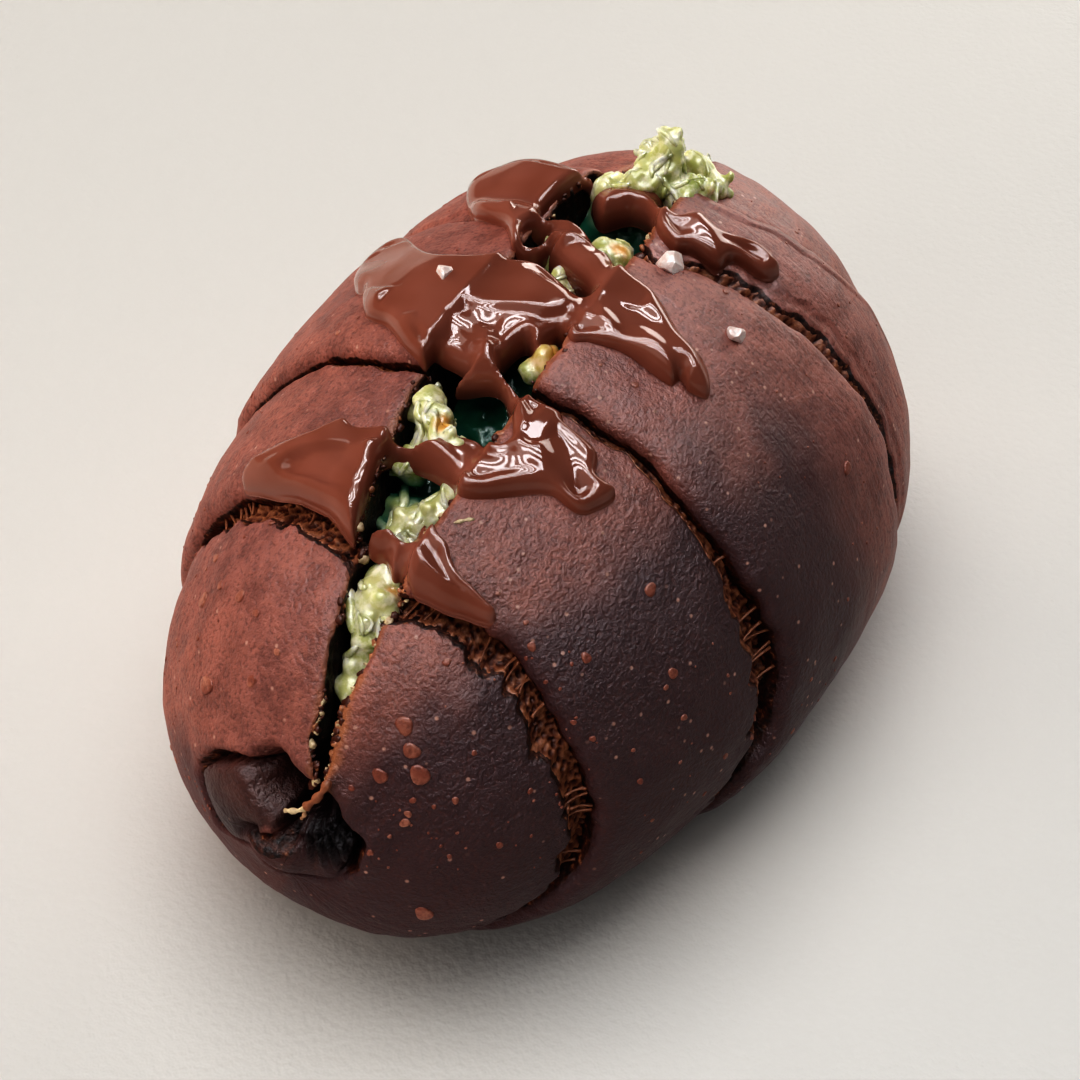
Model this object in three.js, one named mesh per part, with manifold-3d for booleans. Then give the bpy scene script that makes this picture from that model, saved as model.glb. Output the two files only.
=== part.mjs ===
// A chocolate salt bread roll, split along its crest and filled with pistachio cream full of fine
// pastry threads, with chocolate sauce poured over the split and coarse salt crystals on top.
//
// Millimetres, +Z up. The roll lies along X on its pressed-flat base. -X is the end where the
// rolled strip of dough shows its coil, +X the far end. Angles run round the roll's long axis in
// degrees: 0 is the +Y side, 90 the crest, 180 the -Y side and 270 the base.

import * as THREE from 'three';
import { mergeVertices } from 'three/addons/utils/BufferGeometryUtils.js';
import Module from 'manifold-3d';

const wasm = await Module();
wasm.setup();

// ---- driving dimensions ----------------------------------------------------------------------

const LENGTH = 115;
const WIDTH = 80.8;
const HEIGHT = 60.3;
const HALF_LENGTH = LENGTH / 2;
const WAIST_LEVEL = 0.37 * HEIGHT;      // height of the widest line
const BASE_PRESS = 2.5;                 // how far the base is pressed flat
const BOX_CENTRE = [-0.49, 0.1];         // middle of the finished roll's box, taken as the origin

// How the roll narrows towards its two ends: where it is fullest, and how blunt each end is.
const WIDTH_TAPER = { fullest: 0.065, near: 1.847, far: 2.446 };
const CREST_TAPER = { fullest: 0.037, near: 2.135, far: 2.929 };
const BASE_TAPER = { fullest: 0.037, near: 3.277, far: 4.496 };
const UPPER_ROUNDNESS = 1.88;           // superellipse powers of the cross-section, 2 is an ellipse
const LOWER_ROUNDNESS = 2.524;

const GAP = 0.35;                       // clearance between neighbouring pieces

// The overlapping turns of dough. Each seam is a ring drawn through [angle, x] points. `upper` is
// the side (+1 towards +X) whose turn lies on top, and `sink` how much lower the other one starts.
// The torn groove has one width on the left, one on the right of the split and one low on the
// right flank.
const SEAMS = [
  { upper: 1, sink: 0.8, left: 2.8, right: 3.2, flank: 3.4,
    ring: [[20, -30.5], [50, -30.2], [72, -32.7], [84, -34.2], [100, -37.2], [116, -35.6],
      [146, -36.6], [176, -37.8], [195, -41.6], [240, -46.5], [290, -42], [335, -33]] },
  { upper: 1, sink: 0.6, left: 1.1, right: 1.2, flank: 5.0,
    ring: [[40, -11.6], [60, -11.7], [74, -12.8], [100, -11.6], [112, -10.3], [144, -10.5],
      [168, -10], [180, -12.1], [190, -15.5], [235, -21], [270, -20.5], [310, -16], [345, -12]] },
  { upper: -1, sink: 0.6, left: 1.3, right: 2.8, flank: 3.0,
    ring: [[20, 15.5], [52, 15.8], [69, 15.1], [102, 14], [109, 16.5], [120, 18.9], [140, 21.7],
      [155, 23.1], [169, 21.3], [195, 20.7], [240, 21.7], [290, 20], [340, 17.3]] },
  { upper: -1, sink: 0.4, left: 1.0, right: 1.1, flank: 1.3,
    ring: [[20, 31], [60, 30.5], [76, 29.5], [104, 31.4], [121, 35.1], [131, 37.6], [146, 42.2],
      [170, 41.4], [220, 40.2], [270, 38], [320, 34.5]] },
];
const CRUST_INSET = 1.2;                // the crust's ground level under the smooth body
const LIP_RISE = 1.0;                   // the upper turn's rounded edge above that
const GROOVE_DEPTH = 1.6;               // the groove's floor below that
const SINK_REACH = 12;                  // how far from a seam the lower turn regains its height
const TURN_BULGES = [1.8, 0.7, 0.9, 0.9, 1.6];   // how far each turn swells, from -X to +X

// The coil at the near end: a swelling with a deep dimple beside it, both as [y, z, radius, rise].
const END_COIL = [5.5, 28.5, 8, 1.6];
const END_DIMPLES = [[-2.4, 32, 3.6, -4], [13, 26, 3, -1], [-7.5, 28, 4, -1.6]];

// The split along the crest: [x, middle y, half width at the crust, level of its floor].
const SPLIT = [
  [-54, -3.6, 0.7, 33], [-48, -2.9, 1.3, 30], [-40, -2.1, 2.6, 27], [-28, -0.9, 4.3, 24],
  [-14, 0.2, 6.2, 22], [4, 0.2, 6.2, 22], [20, 1.6, 6.6, 23], [33, 0.6, 4.6, 28],
  [45, 0, 0.7, 44],
];
const SPLIT_STATIONS = 28;
const SPLIT_OVERCUT = 5;                // how far the cutting solid stands above the crust

// How far below the crust the filling's surface lies along the split: [x, depth].
const FILL_DEPTH = [[-54, 5], [-47, 7], [-40, 3.4], [-28, 3], [-19, 3.4], [-8, 6], [4, 3.4],
  [10, 5.5], [20, 6], [27, 2], [45, 4]];

// Lumps of filling that stand up in the split: [x, y, z, radius along x, across, up].
const LUMPS = [
  [-46.5, -2.9, 38, 4, 1.6, 4], [-39, -1.9, 45.5, 4.4, 2.2, 3.6], [-34.5, -1.6, 47, 3.6, 2.8, 3.6],
  [-29.5, -1.6, 49.8, 4.4, 3.6, 4.2], [-25.4, 0, 51.5, 3, 2.8, 3.4],
  [-15.8, 4.2, 55, 3, 2.6, 3.4], [-18.6, 1.4, 55.2, 3, 2.8, 3.6], [-21, -1.2, 54.6, 3, 2.8, 3.4],
  [-8.6, -4.4, 55.8, 2.4, 2, 3], [3.6, 3, 56.8, 3.2, 2.8, 3.2], [12.2, 4, 55.2, 3.6, 3, 3.4],
  [12.6, -2.6, 57, 3.4, 2.8, 3.6], [24, 2, 56.4, 4, 3.8, 4.8], [28, 0.2, 57.4, 4.4, 4.2, 5.2],
  [32, 0.6, 56.8, 4.2, 4, 5.4], [29.5, -3.4, 56, 3.6, 2.8, 4.4], [36, -1, 54.4, 3.6, 2.8, 4.4],
];

// Sauce: a rounded sheet round the middle lines of its puddles and drips, as [x, y, half width],
// with round holes [x, y, radius] where it opens over the filling.
const SAUCE = {
  lines: [
    // the large pool over the middle, its lobes and its drips down the right flank
    [[2.6, 23.8, 3.3], [0.4, 17.8, 3.8], [-3.4, 10.6, 4.4], [-3, 4, 3.8], [-1.9, -2.4, 2.2]],
    [[-4.6, 18.6, 2.3], [-8.8, 12.2, 3.2], [-11.6, 6.6, 3], [-14.4, 0.8, 1.9], [-14.7, -7.6, 1.4]],
    [[-8.8, 5, 3.4], [-7.6, 0, 3], [-4.6, -3.2, 2.2]],
    [[-2, -4.5, 1.9], [-0.7, -8.7, 2.5], [1.6, -12.4, 3], [2, -16.4, 2.4], [0.8, -19.9, 1.4]],
    [[5.3, -0.4, 2.4], [4.9, -4.5, 2.7], [4.3, -12.4, 2.3]],
    // the middle right drip, joined across the split to the middle left puddle
    [[-14.6, -7.3, 1.5], [-16.4, -10.5, 2.7], [-21.4, -9.7, 2.3], [-24.9, -6.8, 1.7],
      [-26.5, -2.2, 1.3], [-26.6, 4.8, 2.2]],
    [[-17.7, -12.9, 3], [-18.5, -16.4, 2.3], [-18.3, -18.6, 1.1]],
    [[-29.2, 18, 1.8], [-28.2, 13, 2.9], [-27.6, 8, 3.2], [-25.4, 3.4, 1.5]],
    [[-30, 12, 1.6], [-31.2, 7, 1.9], [-33.4, 3.4, 1.3], [-34.8, 2.2, 0.8]],
    // the back puddle and its thin strings over the split
    [[19, 17, 3.4], [18.6, 12.6, 4.3], [19.9, 9.1, 3.2], [20.9, 4.5, 1.3], [16.5, 1, 1.1],
      [8.4, 2.8, 1.1], [5.3, -0.4, 1.8]],
    [[17.2, 0.5, 1.2], [19.6, -1.7, 1.8], [20.7, -4.4, 1.4], [18.6, -9, 2.1], [20.7, -11.2, 1.8],
      [23.2, -17.8, 1.1]],
    [[18.4, -11.6, 1.4], [18.2, -14.5, 0.9]],
  ],
  holes: [[-12.5, -4.6, 1.4], [-19.1, -2.8, 1.2]],
};
const FRONT_SAUCE = {
  lines: [
    [[-35.2, -0.8, 0.9], [-34.6, -4.8, 1.3], [-33.4, -7.6, 1.6], [-34.2, -13.6, 1.1]],
    [[-35.8, -4.8, 1], [-35.4, -10.4, 1]],
  ],
  holes: [],
};
const SAUCE_THICKNESS = 1.9;
const SAUCE_RIM = 1.8;                  // width over which the sheet rounds off to its edge
const SAUCE_BLEND = 1.2;                // radius by which neighbouring lines flow together
const SAUCE_CELL = 1.3;                 // size of the mesh's squares

// Salt: [x, y, edge length, turn about Z in degrees].
const SALT_ON_BREAD = [[14.8, -9.4, 3.4, 25], [11.1, -19.7, 2.2, 50]];
const SALT_IN_SAUCE = [[-1.8, 10.6, 2.4, 35]];

const FINISH = {
  crust: { color: 0x3b1c15, roughness: 0.62, metalness: 0 },
  filling: { color: 0x9aa860, roughness: 0.4, metalness: 0 },
  sauce: { color: 0x2a0f0b, roughness: 0.12, metalness: 0 },
};

// ---- small helpers ---------------------------------------------------------------------------

const radians = (degrees) => degrees * Math.PI / 180;
const clamp = (value, low, high) => Math.min(high, Math.max(low, value));

function smooth(from, to, value) {
  const f = clamp((value - from) / (to - from), 0, 1);
  return f * f * (3 - 2 * f);
}

// Value at `at` of a smooth curve through rows [key, values...]; with `period` it closes on itself.
function through(rows, at, column, period = 0) {
  const count = rows.length;
  const key = (i) => rows[(i + count) % count][0] + period * Math.floor(i / count);
  const value = (i) => rows[(i + count) % count][column];
  let x = at;
  if (period) while (x < key(0)) x += period;
  else x = clamp(at, key(0), key(count - 1));
  let i = 0;
  while (i < count - (period ? 1 : 2) && x > key(i + 1)) i += 1;
  const last = period ? Infinity : count - 1;
  const first = period ? -Infinity : 0;
  const slope = (k) => {
    const low = Math.max(k - 1, first);
    const high = Math.min(k + 1, last);
    return (value(high) - value(low)) / (key(high) - key(low));
  };
  const span = key(i + 1) - key(i);
  const f = (x - key(i)) / span;
  const a = value(i);
  const b = value(i + 1);
  return a + (b - a) * f * f * (3 - 2 * f)
    + span * f * (1 - f) * ((1 - f) * slope(i) - f * slope(i + 1));
}

// A closed triangle mesh from points and faces, as a solid that can be joined and cut.
function solidFrom(points, faces) {
  const geometry = new THREE.BufferGeometry();
  geometry.setAttribute('position', new THREE.Float32BufferAttribute(points.flat(), 3));
  geometry.setIndex(faces.flat());
  return solidOf(geometry);
}

function solidOf(geometry) {
  const bare = geometry.clone();
  bare.deleteAttribute('normal');
  bare.deleteAttribute('uv');
  const merged = mergeVertices(bare, 1e-5);
  return new wasm.Manifold(new wasm.Mesh({
    numProp: 3,
    vertProperties: Float32Array.from(merged.attributes.position.array),
    triVerts: Uint32Array.from(merged.index.array),
  }));
}

function geometryOf(solid) {
  const mesh = solid.getMesh();
  const geometry = new THREE.BufferGeometry();
  geometry.setAttribute('position', new THREE.BufferAttribute(mesh.vertProperties, 3));
  geometry.setIndex(new THREE.BufferAttribute(mesh.triVerts, 1));
  const flat = geometry.toNonIndexed();
  flat.computeVertexNormals();
  return flat;
}

const largestPiece = (solid) => solid.decompose().sort((a, b) => b.volume() - a.volume())[0];

// Rings of equal point count joined into a closed tube with flat caps at both ends.
function loft(rings) {
  const count = rings[0].length;
  const faces = [];
  for (let r = 0; r < rings.length - 1; r += 1) {
    for (let i = 0; i < count; i += 1) {
      const a = r * count + i;
      const b = r * count + (i + 1) % count;
      faces.push([a, a + count, b], [b, a + count, b + count]);
    }
  }
  const lastRing = (rings.length - 1) * count;
  for (let i = 1; i < count - 1; i += 1) {
    faces.push([0, i, i + 1], [lastRing, lastRing + i + 1, lastRing + i]);
  }
  return solidFrom(rings.flat(), faces);
}

// ---- the roll's smooth body ------------------------------------------------------------------

function taper({ fullest, near, far }, t) {
  const f = t < fullest ? (fullest - t) / (1 + fullest) : (t - fullest) / (1 - fullest);
  return Math.sqrt(Math.max(0, 1 - f ** (t < fullest ? near : far)));
}

function smoothBody(x, angle) {
  const t = clamp(x / HALF_LENGTH, -1, 1);
  const cosine = Math.cos(radians(angle));
  const sine = Math.sin(radians(angle));
  const roundness = sine > 0 ? UPPER_ROUNDNESS : LOWER_ROUNDNESS;
  const across = Math.sign(cosine) * Math.abs(cosine) ** (2 / roundness);
  const along = Math.abs(sine) ** (2 / roundness);
  const up = (HEIGHT - WAIST_LEVEL) * taper(CREST_TAPER, t);
  const down = (WAIST_LEVEL + BASE_PRESS) * taper(BASE_TAPER, t);
  return new THREE.Vector3(
    t * HALF_LENGTH,
    WIDTH / 2 * taper(WIDTH_TAPER, t) * across,
    WAIST_LEVEL + (sine > 0 ? up : -down) * along,
  );
}

function bodyNormal(x, angle) {
  const step = 0.4;
  const inner = clamp(x, -HALF_LENGTH + step, HALF_LENGTH - step);
  const along = smoothBody(inner + step, angle).sub(smoothBody(inner - step, angle));
  const round = smoothBody(inner, angle + step).sub(smoothBody(inner, angle - step));
  return round.cross(along).normalize();
}

// ---- relief: turns of dough, their lips and the torn grooves between them ---------------------

const seamX = (seam, angle) => through(seam.ring, angle, 1, 360);

function grooveWidth(seam, angle) {
  const upper = seam.left + (seam.right - seam.left) * smooth(78, 104, angle);
  const flank = upper + (seam.flank - upper) * smooth(130, 176, angle);
  return flank + (seam.left - flank) * smooth(225, 330, angle);
}

// Height over the crust's ground level at a distance `d` from a seam, positive on its upper turn.
function seamRelief(d, width, sink) {
  if (d >= 0) {
    return LIP_RISE * (1 - 0.75 * Math.exp(-d / 0.5)) * Math.exp(-((d / 9) ** 2));
  }
  if (d > -width) {
    const climb = (-d / width) ** 1.4;
    return -GROOVE_DEPTH * (1 - climb) - sink * climb;
  }
  return -sink * Math.exp((d + width) / SINK_REACH);
}

function relief(x, angle) {
  let height = -CRUST_INSET;
  const edges = [-HALF_LENGTH, ...SEAMS.map((seam) => seamX(seam, angle)), HALF_LENGTH];
  SEAMS.forEach((seam, i) => {
    height += seamRelief((x - edges[i + 1]) * seam.upper, grooveWidth(seam, angle), seam.sink);
  });
  const lobe = clamp(edges.findIndex((edge) => x < edge), 1, edges.length - 1);
  const share = clamp((x - edges[lobe - 1]) / (edges[lobe] - edges[lobe - 1]), 0, 1);
  return height + TURN_BULGES[lobe - 1] * Math.sin(Math.PI * share) ** 0.8;
}

function endRelief(point) {
  if (point.x > -40) return 0;
  const spot = ([y, z, radius, rise]) => rise
    * Math.exp(-(((point.y - y) ** 2 + (point.z - z) ** 2) / radius ** 2));
  const nearness = smooth(-40, -50, point.x);
  return nearness * [END_COIL, ...END_DIMPLES].reduce((sum, row) => sum + spot(row), 0);
}

function crust(x, angle) {
  const point = smoothBody(x, angle);
  const height = relief(x, angle) + endRelief(point);
  point.addScaledVector(bodyNormal(x, angle), height);
  point.z = Math.max(0, point.z);
  return point;
}

// Level of the crust's top at a place in plan, as if the split were closed.
function crustTop(x, y) {
  const half = WIDTH / 2 * taper(WIDTH_TAPER, clamp(x / HALF_LENGTH, -0.999, 0.999));
  const cosine = clamp(Math.abs(y) / half, 0, 0.995) ** (UPPER_ROUNDNESS / 2);
  const angle = THREE.MathUtils.radToDeg(Math.acos(Math.sign(y) * cosine));
  const normal = bodyNormal(x, angle);
  return smoothBody(x, angle).z + relief(x, angle) / Math.max(0.4, normal.z);
}

// Columns of the crust's mesh: close together at each seam, spread evenly over each turn.
function crustColumns(angle) {
  const columns = [-HALF_LENGTH];
  const seamStops = SEAMS.map((seam) => {
    const width = grooveWidth(seam, angle);
    const stops = [3.2, 1.2, 0.02, -0.02, -0.5 * width, -width, -width - 3];
    return stops.map((d) => seamX(seam, angle) + d * seam.upper).sort((a, b) => a - b);
  });
  const spread = (from, to, count, ease) => {
    for (let i = 1; i <= count; i += 1) columns.push(from + (to - from) * ease(i / (count + 1)));
  };
  spread(-HALF_LENGTH, seamStops[0][0], 7, (f) => 1 - Math.cos(f * Math.PI / 2));
  seamStops.forEach((stops, i) => {
    columns.push(...stops);
    if (i < seamStops.length - 1) spread(stops.at(-1), seamStops[i + 1][0], 4, (f) => f);
  });
  spread(seamStops.at(-1).at(-1), HALF_LENGTH, 6, (f) => Math.sin(f * Math.PI / 2));
  columns.push(HALF_LENGTH);
  return columns;
}

const CRUST_ROWS = 56;

function crustSolid() {
  const rows = [];
  for (let r = 0; r < CRUST_ROWS; r += 1) {
    const angle = 360 * r / CRUST_ROWS;
    rows.push(crustColumns(angle).map((x) => crust(x, angle).toArray()));
  }
  const inner = rows[0].length - 2;
  const points = rows.flatMap((row) => row.slice(1, -1));
  const near = points.push(crust(-HALF_LENGTH, 0).toArray()) - 1;
  const far = points.push(crust(HALF_LENGTH, 0).toArray()) - 1;
  const faces = [];
  for (let r = 0; r < CRUST_ROWS; r += 1) {
    const here = r * inner;
    const next = ((r + 1) % CRUST_ROWS) * inner;
    faces.push([near, next, here], [far, here + inner - 1, next + inner - 1]);
    for (let c = 0; c < inner - 1; c += 1) {
      faces.push([here + c, next + c, here + c + 1], [next + c, next + c + 1, here + c + 1]);
    }
  }
  return solidFrom(points, faces);
}

// ---- the split and its filling ---------------------------------------------------------------

// One cross-section of the split, drawn from its left rim down to the floor and up to the right
// rim. `inset` shrinks it on all sides, and `top` gives the level at each share across.
function splitSection(x, inset, top) {
  const middle = through(SPLIT, x, 1);
  const half = through(SPLIT, x, 2);
  const floor = through(SPLIT, x, 3) + inset;
  const rim = crustTop(x, middle);
  const at = (share, level) => [x, middle + share * Math.max(0.12, half - inset), level];
  const wall = [[1.12, 1.1], [1, 0.98], [0.78, 0.55], [0.5, 0.2], [0.25, 0]];
  const level = (share, height) => Math.min(floor + (rim - floor) * height, top(share, rim));
  const down = wall.map(([share, height]) => at(share, level(share, height)));
  const up = wall.map(([share, height]) => at(-share, level(-share, height))).reverse();
  return [at(0.5, top(0.5, rim)), at(1.12, top(1.12, rim)), ...down.slice(1),
    ...up.slice(0, -1), at(-1.12, top(-1.12, rim)), at(-0.5, top(-0.5, rim)), at(0, top(0, rim))];
}

function splitStations() {
  const from = SPLIT[0][0];
  const to = SPLIT.at(-1)[0];
  return Array.from({ length: SPLIT_STATIONS }, (_, i) => from + (to - from) * i / (SPLIT_STATIONS - 1));
}

function splitSolid() {
  const top = (share, rim) => rim + SPLIT_OVERCUT;
  return loft(splitStations().map((x) => splitSection(x, 0, top)));
}

// A lump of filling: a ball stretched to its three radii, its surface knobbly.
function lumpSolid([x, y, z, rx, ry, rz], i) {
  const ball = new THREE.IcosahedronGeometry(1, Math.max(rx, rz) > 5 ? 2 : 1);
  const place = ball.attributes.position;
  const v = new THREE.Vector3();
  for (let k = 0; k < place.count; k += 1) {
    v.fromBufferAttribute(place, k);
    const knob = 1 + 0.13 * Math.sin(5.1 * v.x + 2.3 * i) * Math.cos(4.3 * v.y + 1.7 * i)
      + 0.1 * Math.sin(6.7 * v.z + i);
    place.setXYZ(k, x + rx * knob * v.x, y + ry * knob * v.y, z + rz * knob * v.z);
  }
  return solidOf(ball);
}

function fillingSolid(bread, ...coverings) {
  const knobs = (x, share) => 0.5 * Math.sin(0.9 * x + 2 * share) + 0.4 * Math.cos(1.7 * x - 3 * share);
  const core = loft(splitStations().slice(1, -1).map((x) => splitSection(x, GAP, (share, rim) => (
    rim - through(FILL_DEPTH, x, 1) + knobs(x, share) - 0.8 * share ** 2))));
  const heaped = LUMPS.map(lumpSolid).reduce((sum, lump) => sum.add(lump), core);
  let clear = heaped;
  const shifts = [[0, 0, GAP], [0, GAP, 0], [0, -GAP, 0], [GAP, 0, 0], [-GAP, 0, 0]];
  for (const shift of shifts) clear = clear.subtract(bread.translate(shift));
  for (const covering of coverings) clear = clear.subtract(covering);
  return largestPiece(clear);
}

// ---- sauce -----------------------------------------------------------------------------------

// Distance in plan to the sauce's edge, negative inside it.
function sauceDistance({ lines, holes }, x, y) {
  let distance = Infinity;
  for (const line of lines) {
    let nearest = Infinity;
    for (let i = 0; i < line.length - 1; i += 1) {
      const [ax, ay, ar] = line[i];
      const [bx, by, br] = line[i + 1];
      const f = clamp(((x - ax) * (bx - ax) + (y - ay) * (by - ay))
        / ((bx - ax) ** 2 + (by - ay) ** 2), 0, 1);
      const gap = Math.hypot(x - ax - f * (bx - ax), y - ay - f * (by - ay)) - ar - f * (br - ar);
      nearest = Math.min(nearest, gap);
    }
    const blend = clamp(0.5 + 0.5 * (nearest - distance) / SAUCE_BLEND, 0, 1) || 0;
    distance = distance === Infinity ? nearest
      : nearest + (distance - nearest) * blend - SAUCE_BLEND * blend * (1 - blend);
  }
  for (const [hx, hy, radius] of holes) {
    distance = Math.max(distance, radius - Math.hypot(x - hx, y - hy));
  }
  return distance;
}

// Underside of the sauce: it bridges every dip narrower than its reach, clear of the crust.
function sauceUnderside(x, y) {
  let level = crustTop(x, y);
  const reach = 1.0;
  for (let k = 0; k < 8; k += 1) {
    const turn = Math.PI * k / 4;
    level = Math.max(level, crustTop(x + reach * Math.cos(turn), y + reach * Math.sin(turn)));
  }
  return level + GAP;
}

// The sheet of sauce, meshed on squares whose corners are moved onto its edge. `grow` widens it
// and `pad` thickens it both ways, to cut clearance round it.
function sauceSolid(shape, grow = 0, pad = 0) {
  const xs = shape.lines.flat().map((p) => p[0]);
  const ys = shape.lines.flat().map((p) => p[1]);
  const from = [Math.min(...xs) - 5, Math.min(...ys) - 5];
  const size = [Math.max(...xs) + 5 - from[0], Math.max(...ys) + 5 - from[1]];
  const cells = size.map((s) => Math.ceil(s / SAUCE_CELL));
  const edge = (x, y) => sauceDistance(shape, x, y) - grow;
  const thickness = (d) => SAUCE_THICKNESS * Math.sqrt(1 - (1 - clamp(-d / SAUCE_RIM, 0, 1)) ** 2);
  const points = [];
  const known = new Map();
  const corner = (key, x, y, inside) => {
    if (!known.has(key)) {
      const low = sauceUnderside(x, y) - pad;
      const under = points.push([x, y, low]) - 1;
      const high = low + thickness(edge(x, y)) + 2 * pad + 0.05;
      known.set(key, [under, inside || pad ? points.push([x, y, high]) - 1 : under]);
    }
    return known.get(key);
  };
  const faces = [];
  const place = (i, j) => [from[0] + i * SAUCE_CELL, from[1] + j * SAUCE_CELL];
  for (let i = 0; i < cells[0]; i += 1) {
    for (let j = 0; j < cells[1]; j += 1) {
      const ring = [[i, j], [i + 1, j], [i + 1, j + 1], [i, j + 1]];
      const depth = ring.map(([a, b]) => edge(...place(a, b)));
      const outline = [];
      ring.forEach(([a, b], k) => {
        const [c, d] = ring[(k + 1) % 4];
        const here = depth[k];
        const next = depth[(k + 1) % 4];
        if (here < 0) outline.push([corner(`${a},${b}`, ...place(a, b), true), false]);
        if (here < 0 !== next < 0) {
          const share = clamp(here / (here - next), 0.08, 0.92);
          const [x0, y0] = place(a, b);
          const [x1, y1] = place(c, d);
          const key = [`${a},${b}`, `${c},${d}`].sort().join('/');
          outline.push([corner(key, x0 + share * (x1 - x0), y0 + share * (y1 - y0), false), true]);
        }
      });
      for (let k = 1; k < outline.length - 1; k += 1) {
        const [p, q, r] = [outline[0][0], outline[k][0], outline[k + 1][0]];
        faces.push([p[1], q[1], r[1]], [p[0], r[0], q[0]]);
      }
      if (pad) {
        outline.forEach(([p, rim], k) => {
          const [q, nextRim] = outline[(k + 1) % outline.length];
          if (rim && nextRim) faces.push([p[0], q[0], q[1]], [p[0], q[1], p[1]]);
        });
      }
    }
  }
  return solidFrom(points, faces.filter(([a, b, c]) => a !== b && b !== c && c !== a));
}

// ---- salt ------------------------------------------------------------------------------------

function saltCrystal([x, y, edge, turn], level) {
  const box = new THREE.BoxGeometry(edge, edge * 0.8, edge * 0.85);
  box.rotateX(radians(18)).rotateY(radians(turn / 3)).rotateZ(radians(turn));
  box.translate(x, y, level + edge * 0.1);
  return solidOf(box);
}

// ---- the pieces ------------------------------------------------------------------------------

const split = splitSolid();
const openBread = largestPiece(crustSolid().subtract(split));
const breadSolid = SALT_ON_BREAD.reduce(
  (sum, row) => sum.add(saltCrystal(row, crustTop(row[0], row[1]))), openBread);

const sauce = sauceSolid(SAUCE);
const sauceWithSalt = SALT_IN_SAUCE.reduce(
  (sum, row) => sum.add(saltCrystal(row, sauceUnderside(row[0], row[1]) + SAUCE_THICKNESS)), sauce);
const frontSauce = sauceSolid(FRONT_SAUCE);

const filling = fillingSolid(openBread,
  sauceSolid(SAUCE, GAP, GAP), sauceSolid(FRONT_SAUCE, GAP, GAP));

function piece(name, solid, finish) {
  const mesh = new THREE.Mesh(geometryOf(solid), new THREE.MeshStandardMaterial(finish));
  mesh.name = name;
  mesh.position.set(-BOX_CENTRE[0], -BOX_CENTRE[1], 0);
  return mesh;
}

const roll = new THREE.Group();
roll.add(
  piece('bread', breadSolid, FINISH.crust),
  piece('filling', filling, FINISH.filling),
  piece('chocolate_sauce', sauceWithSalt, FINISH.sauce),
  piece('chocolate_sauce_front', frontSauce, FINISH.sauce),
);

export default roll;
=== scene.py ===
"""A chocolate salt bread roll, split along its crest and filled with pistachio cream.

The roll is an oval of overlapping turns of dark dough. Chocolate sauce lies over the split, and
coarse salt crystals lie on top. Shapes are worked out in millimetres in the roll's own frame: it
lies along X, -X is the end that shows the coil, and angles run round its long axis in degrees,
with 0 at the +Y side, 90 at the crest, 180 at the -Y side and 270 at the base.
"""

import itertools
import logging
import math
from dataclasses import dataclass
from enum import Enum

import bmesh
import bpy
import numpy as np
from mathutils import Matrix, Vector
from mathutils.bvhtree import BVHTree
from mathutils.geometry import delaunay_2d_cdt


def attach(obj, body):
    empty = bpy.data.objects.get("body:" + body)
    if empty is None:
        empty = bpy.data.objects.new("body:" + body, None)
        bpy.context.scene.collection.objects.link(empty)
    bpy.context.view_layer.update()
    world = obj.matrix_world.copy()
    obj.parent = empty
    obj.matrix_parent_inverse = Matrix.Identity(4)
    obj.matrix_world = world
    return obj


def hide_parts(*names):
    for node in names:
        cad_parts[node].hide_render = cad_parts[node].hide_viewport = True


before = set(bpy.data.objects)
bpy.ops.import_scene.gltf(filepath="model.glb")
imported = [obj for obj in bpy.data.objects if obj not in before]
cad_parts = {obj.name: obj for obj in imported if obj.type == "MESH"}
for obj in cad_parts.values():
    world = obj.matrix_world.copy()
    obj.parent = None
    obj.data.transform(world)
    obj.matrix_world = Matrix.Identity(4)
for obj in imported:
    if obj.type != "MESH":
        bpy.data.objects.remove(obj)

LOG = logging.getLogger("salt_bread")
BODY = "root"
MM = 0.001
BOX_CENTRE = np.array([-0.49, 0.1, 0.0])  # middle of the roll's box in its own shape's millimetres
NOISE_GAIN = 1.6  # spreads the unevenness from about -1 to 1

# short names for types
Array = np.ndarray
Piece = bpy.types.Object
Material = bpy.types.Material
Socket = bpy.types.NodeSocket
Solid = tuple[Array, list]  # points and faces


class Toward(Enum):
    """The end of the roll that a turn of dough lies towards."""

    COIL_END = -1
    FAR_END = 1


# ---- numbers and noise


def ramp(low: float, high: float, value: Array) -> Array:
    """Smooth step from 0 at low to 1 at high.

    Args:
        low: value at which the step starts.
        high: value at which it ends.
        value: where to read it.

    Returns:
        The step's height at each value.
    """
    share = np.clip((value - low) / (high - low), 0.0, 1.0)
    return share * share * (3.0 - 2.0 * share)


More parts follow.
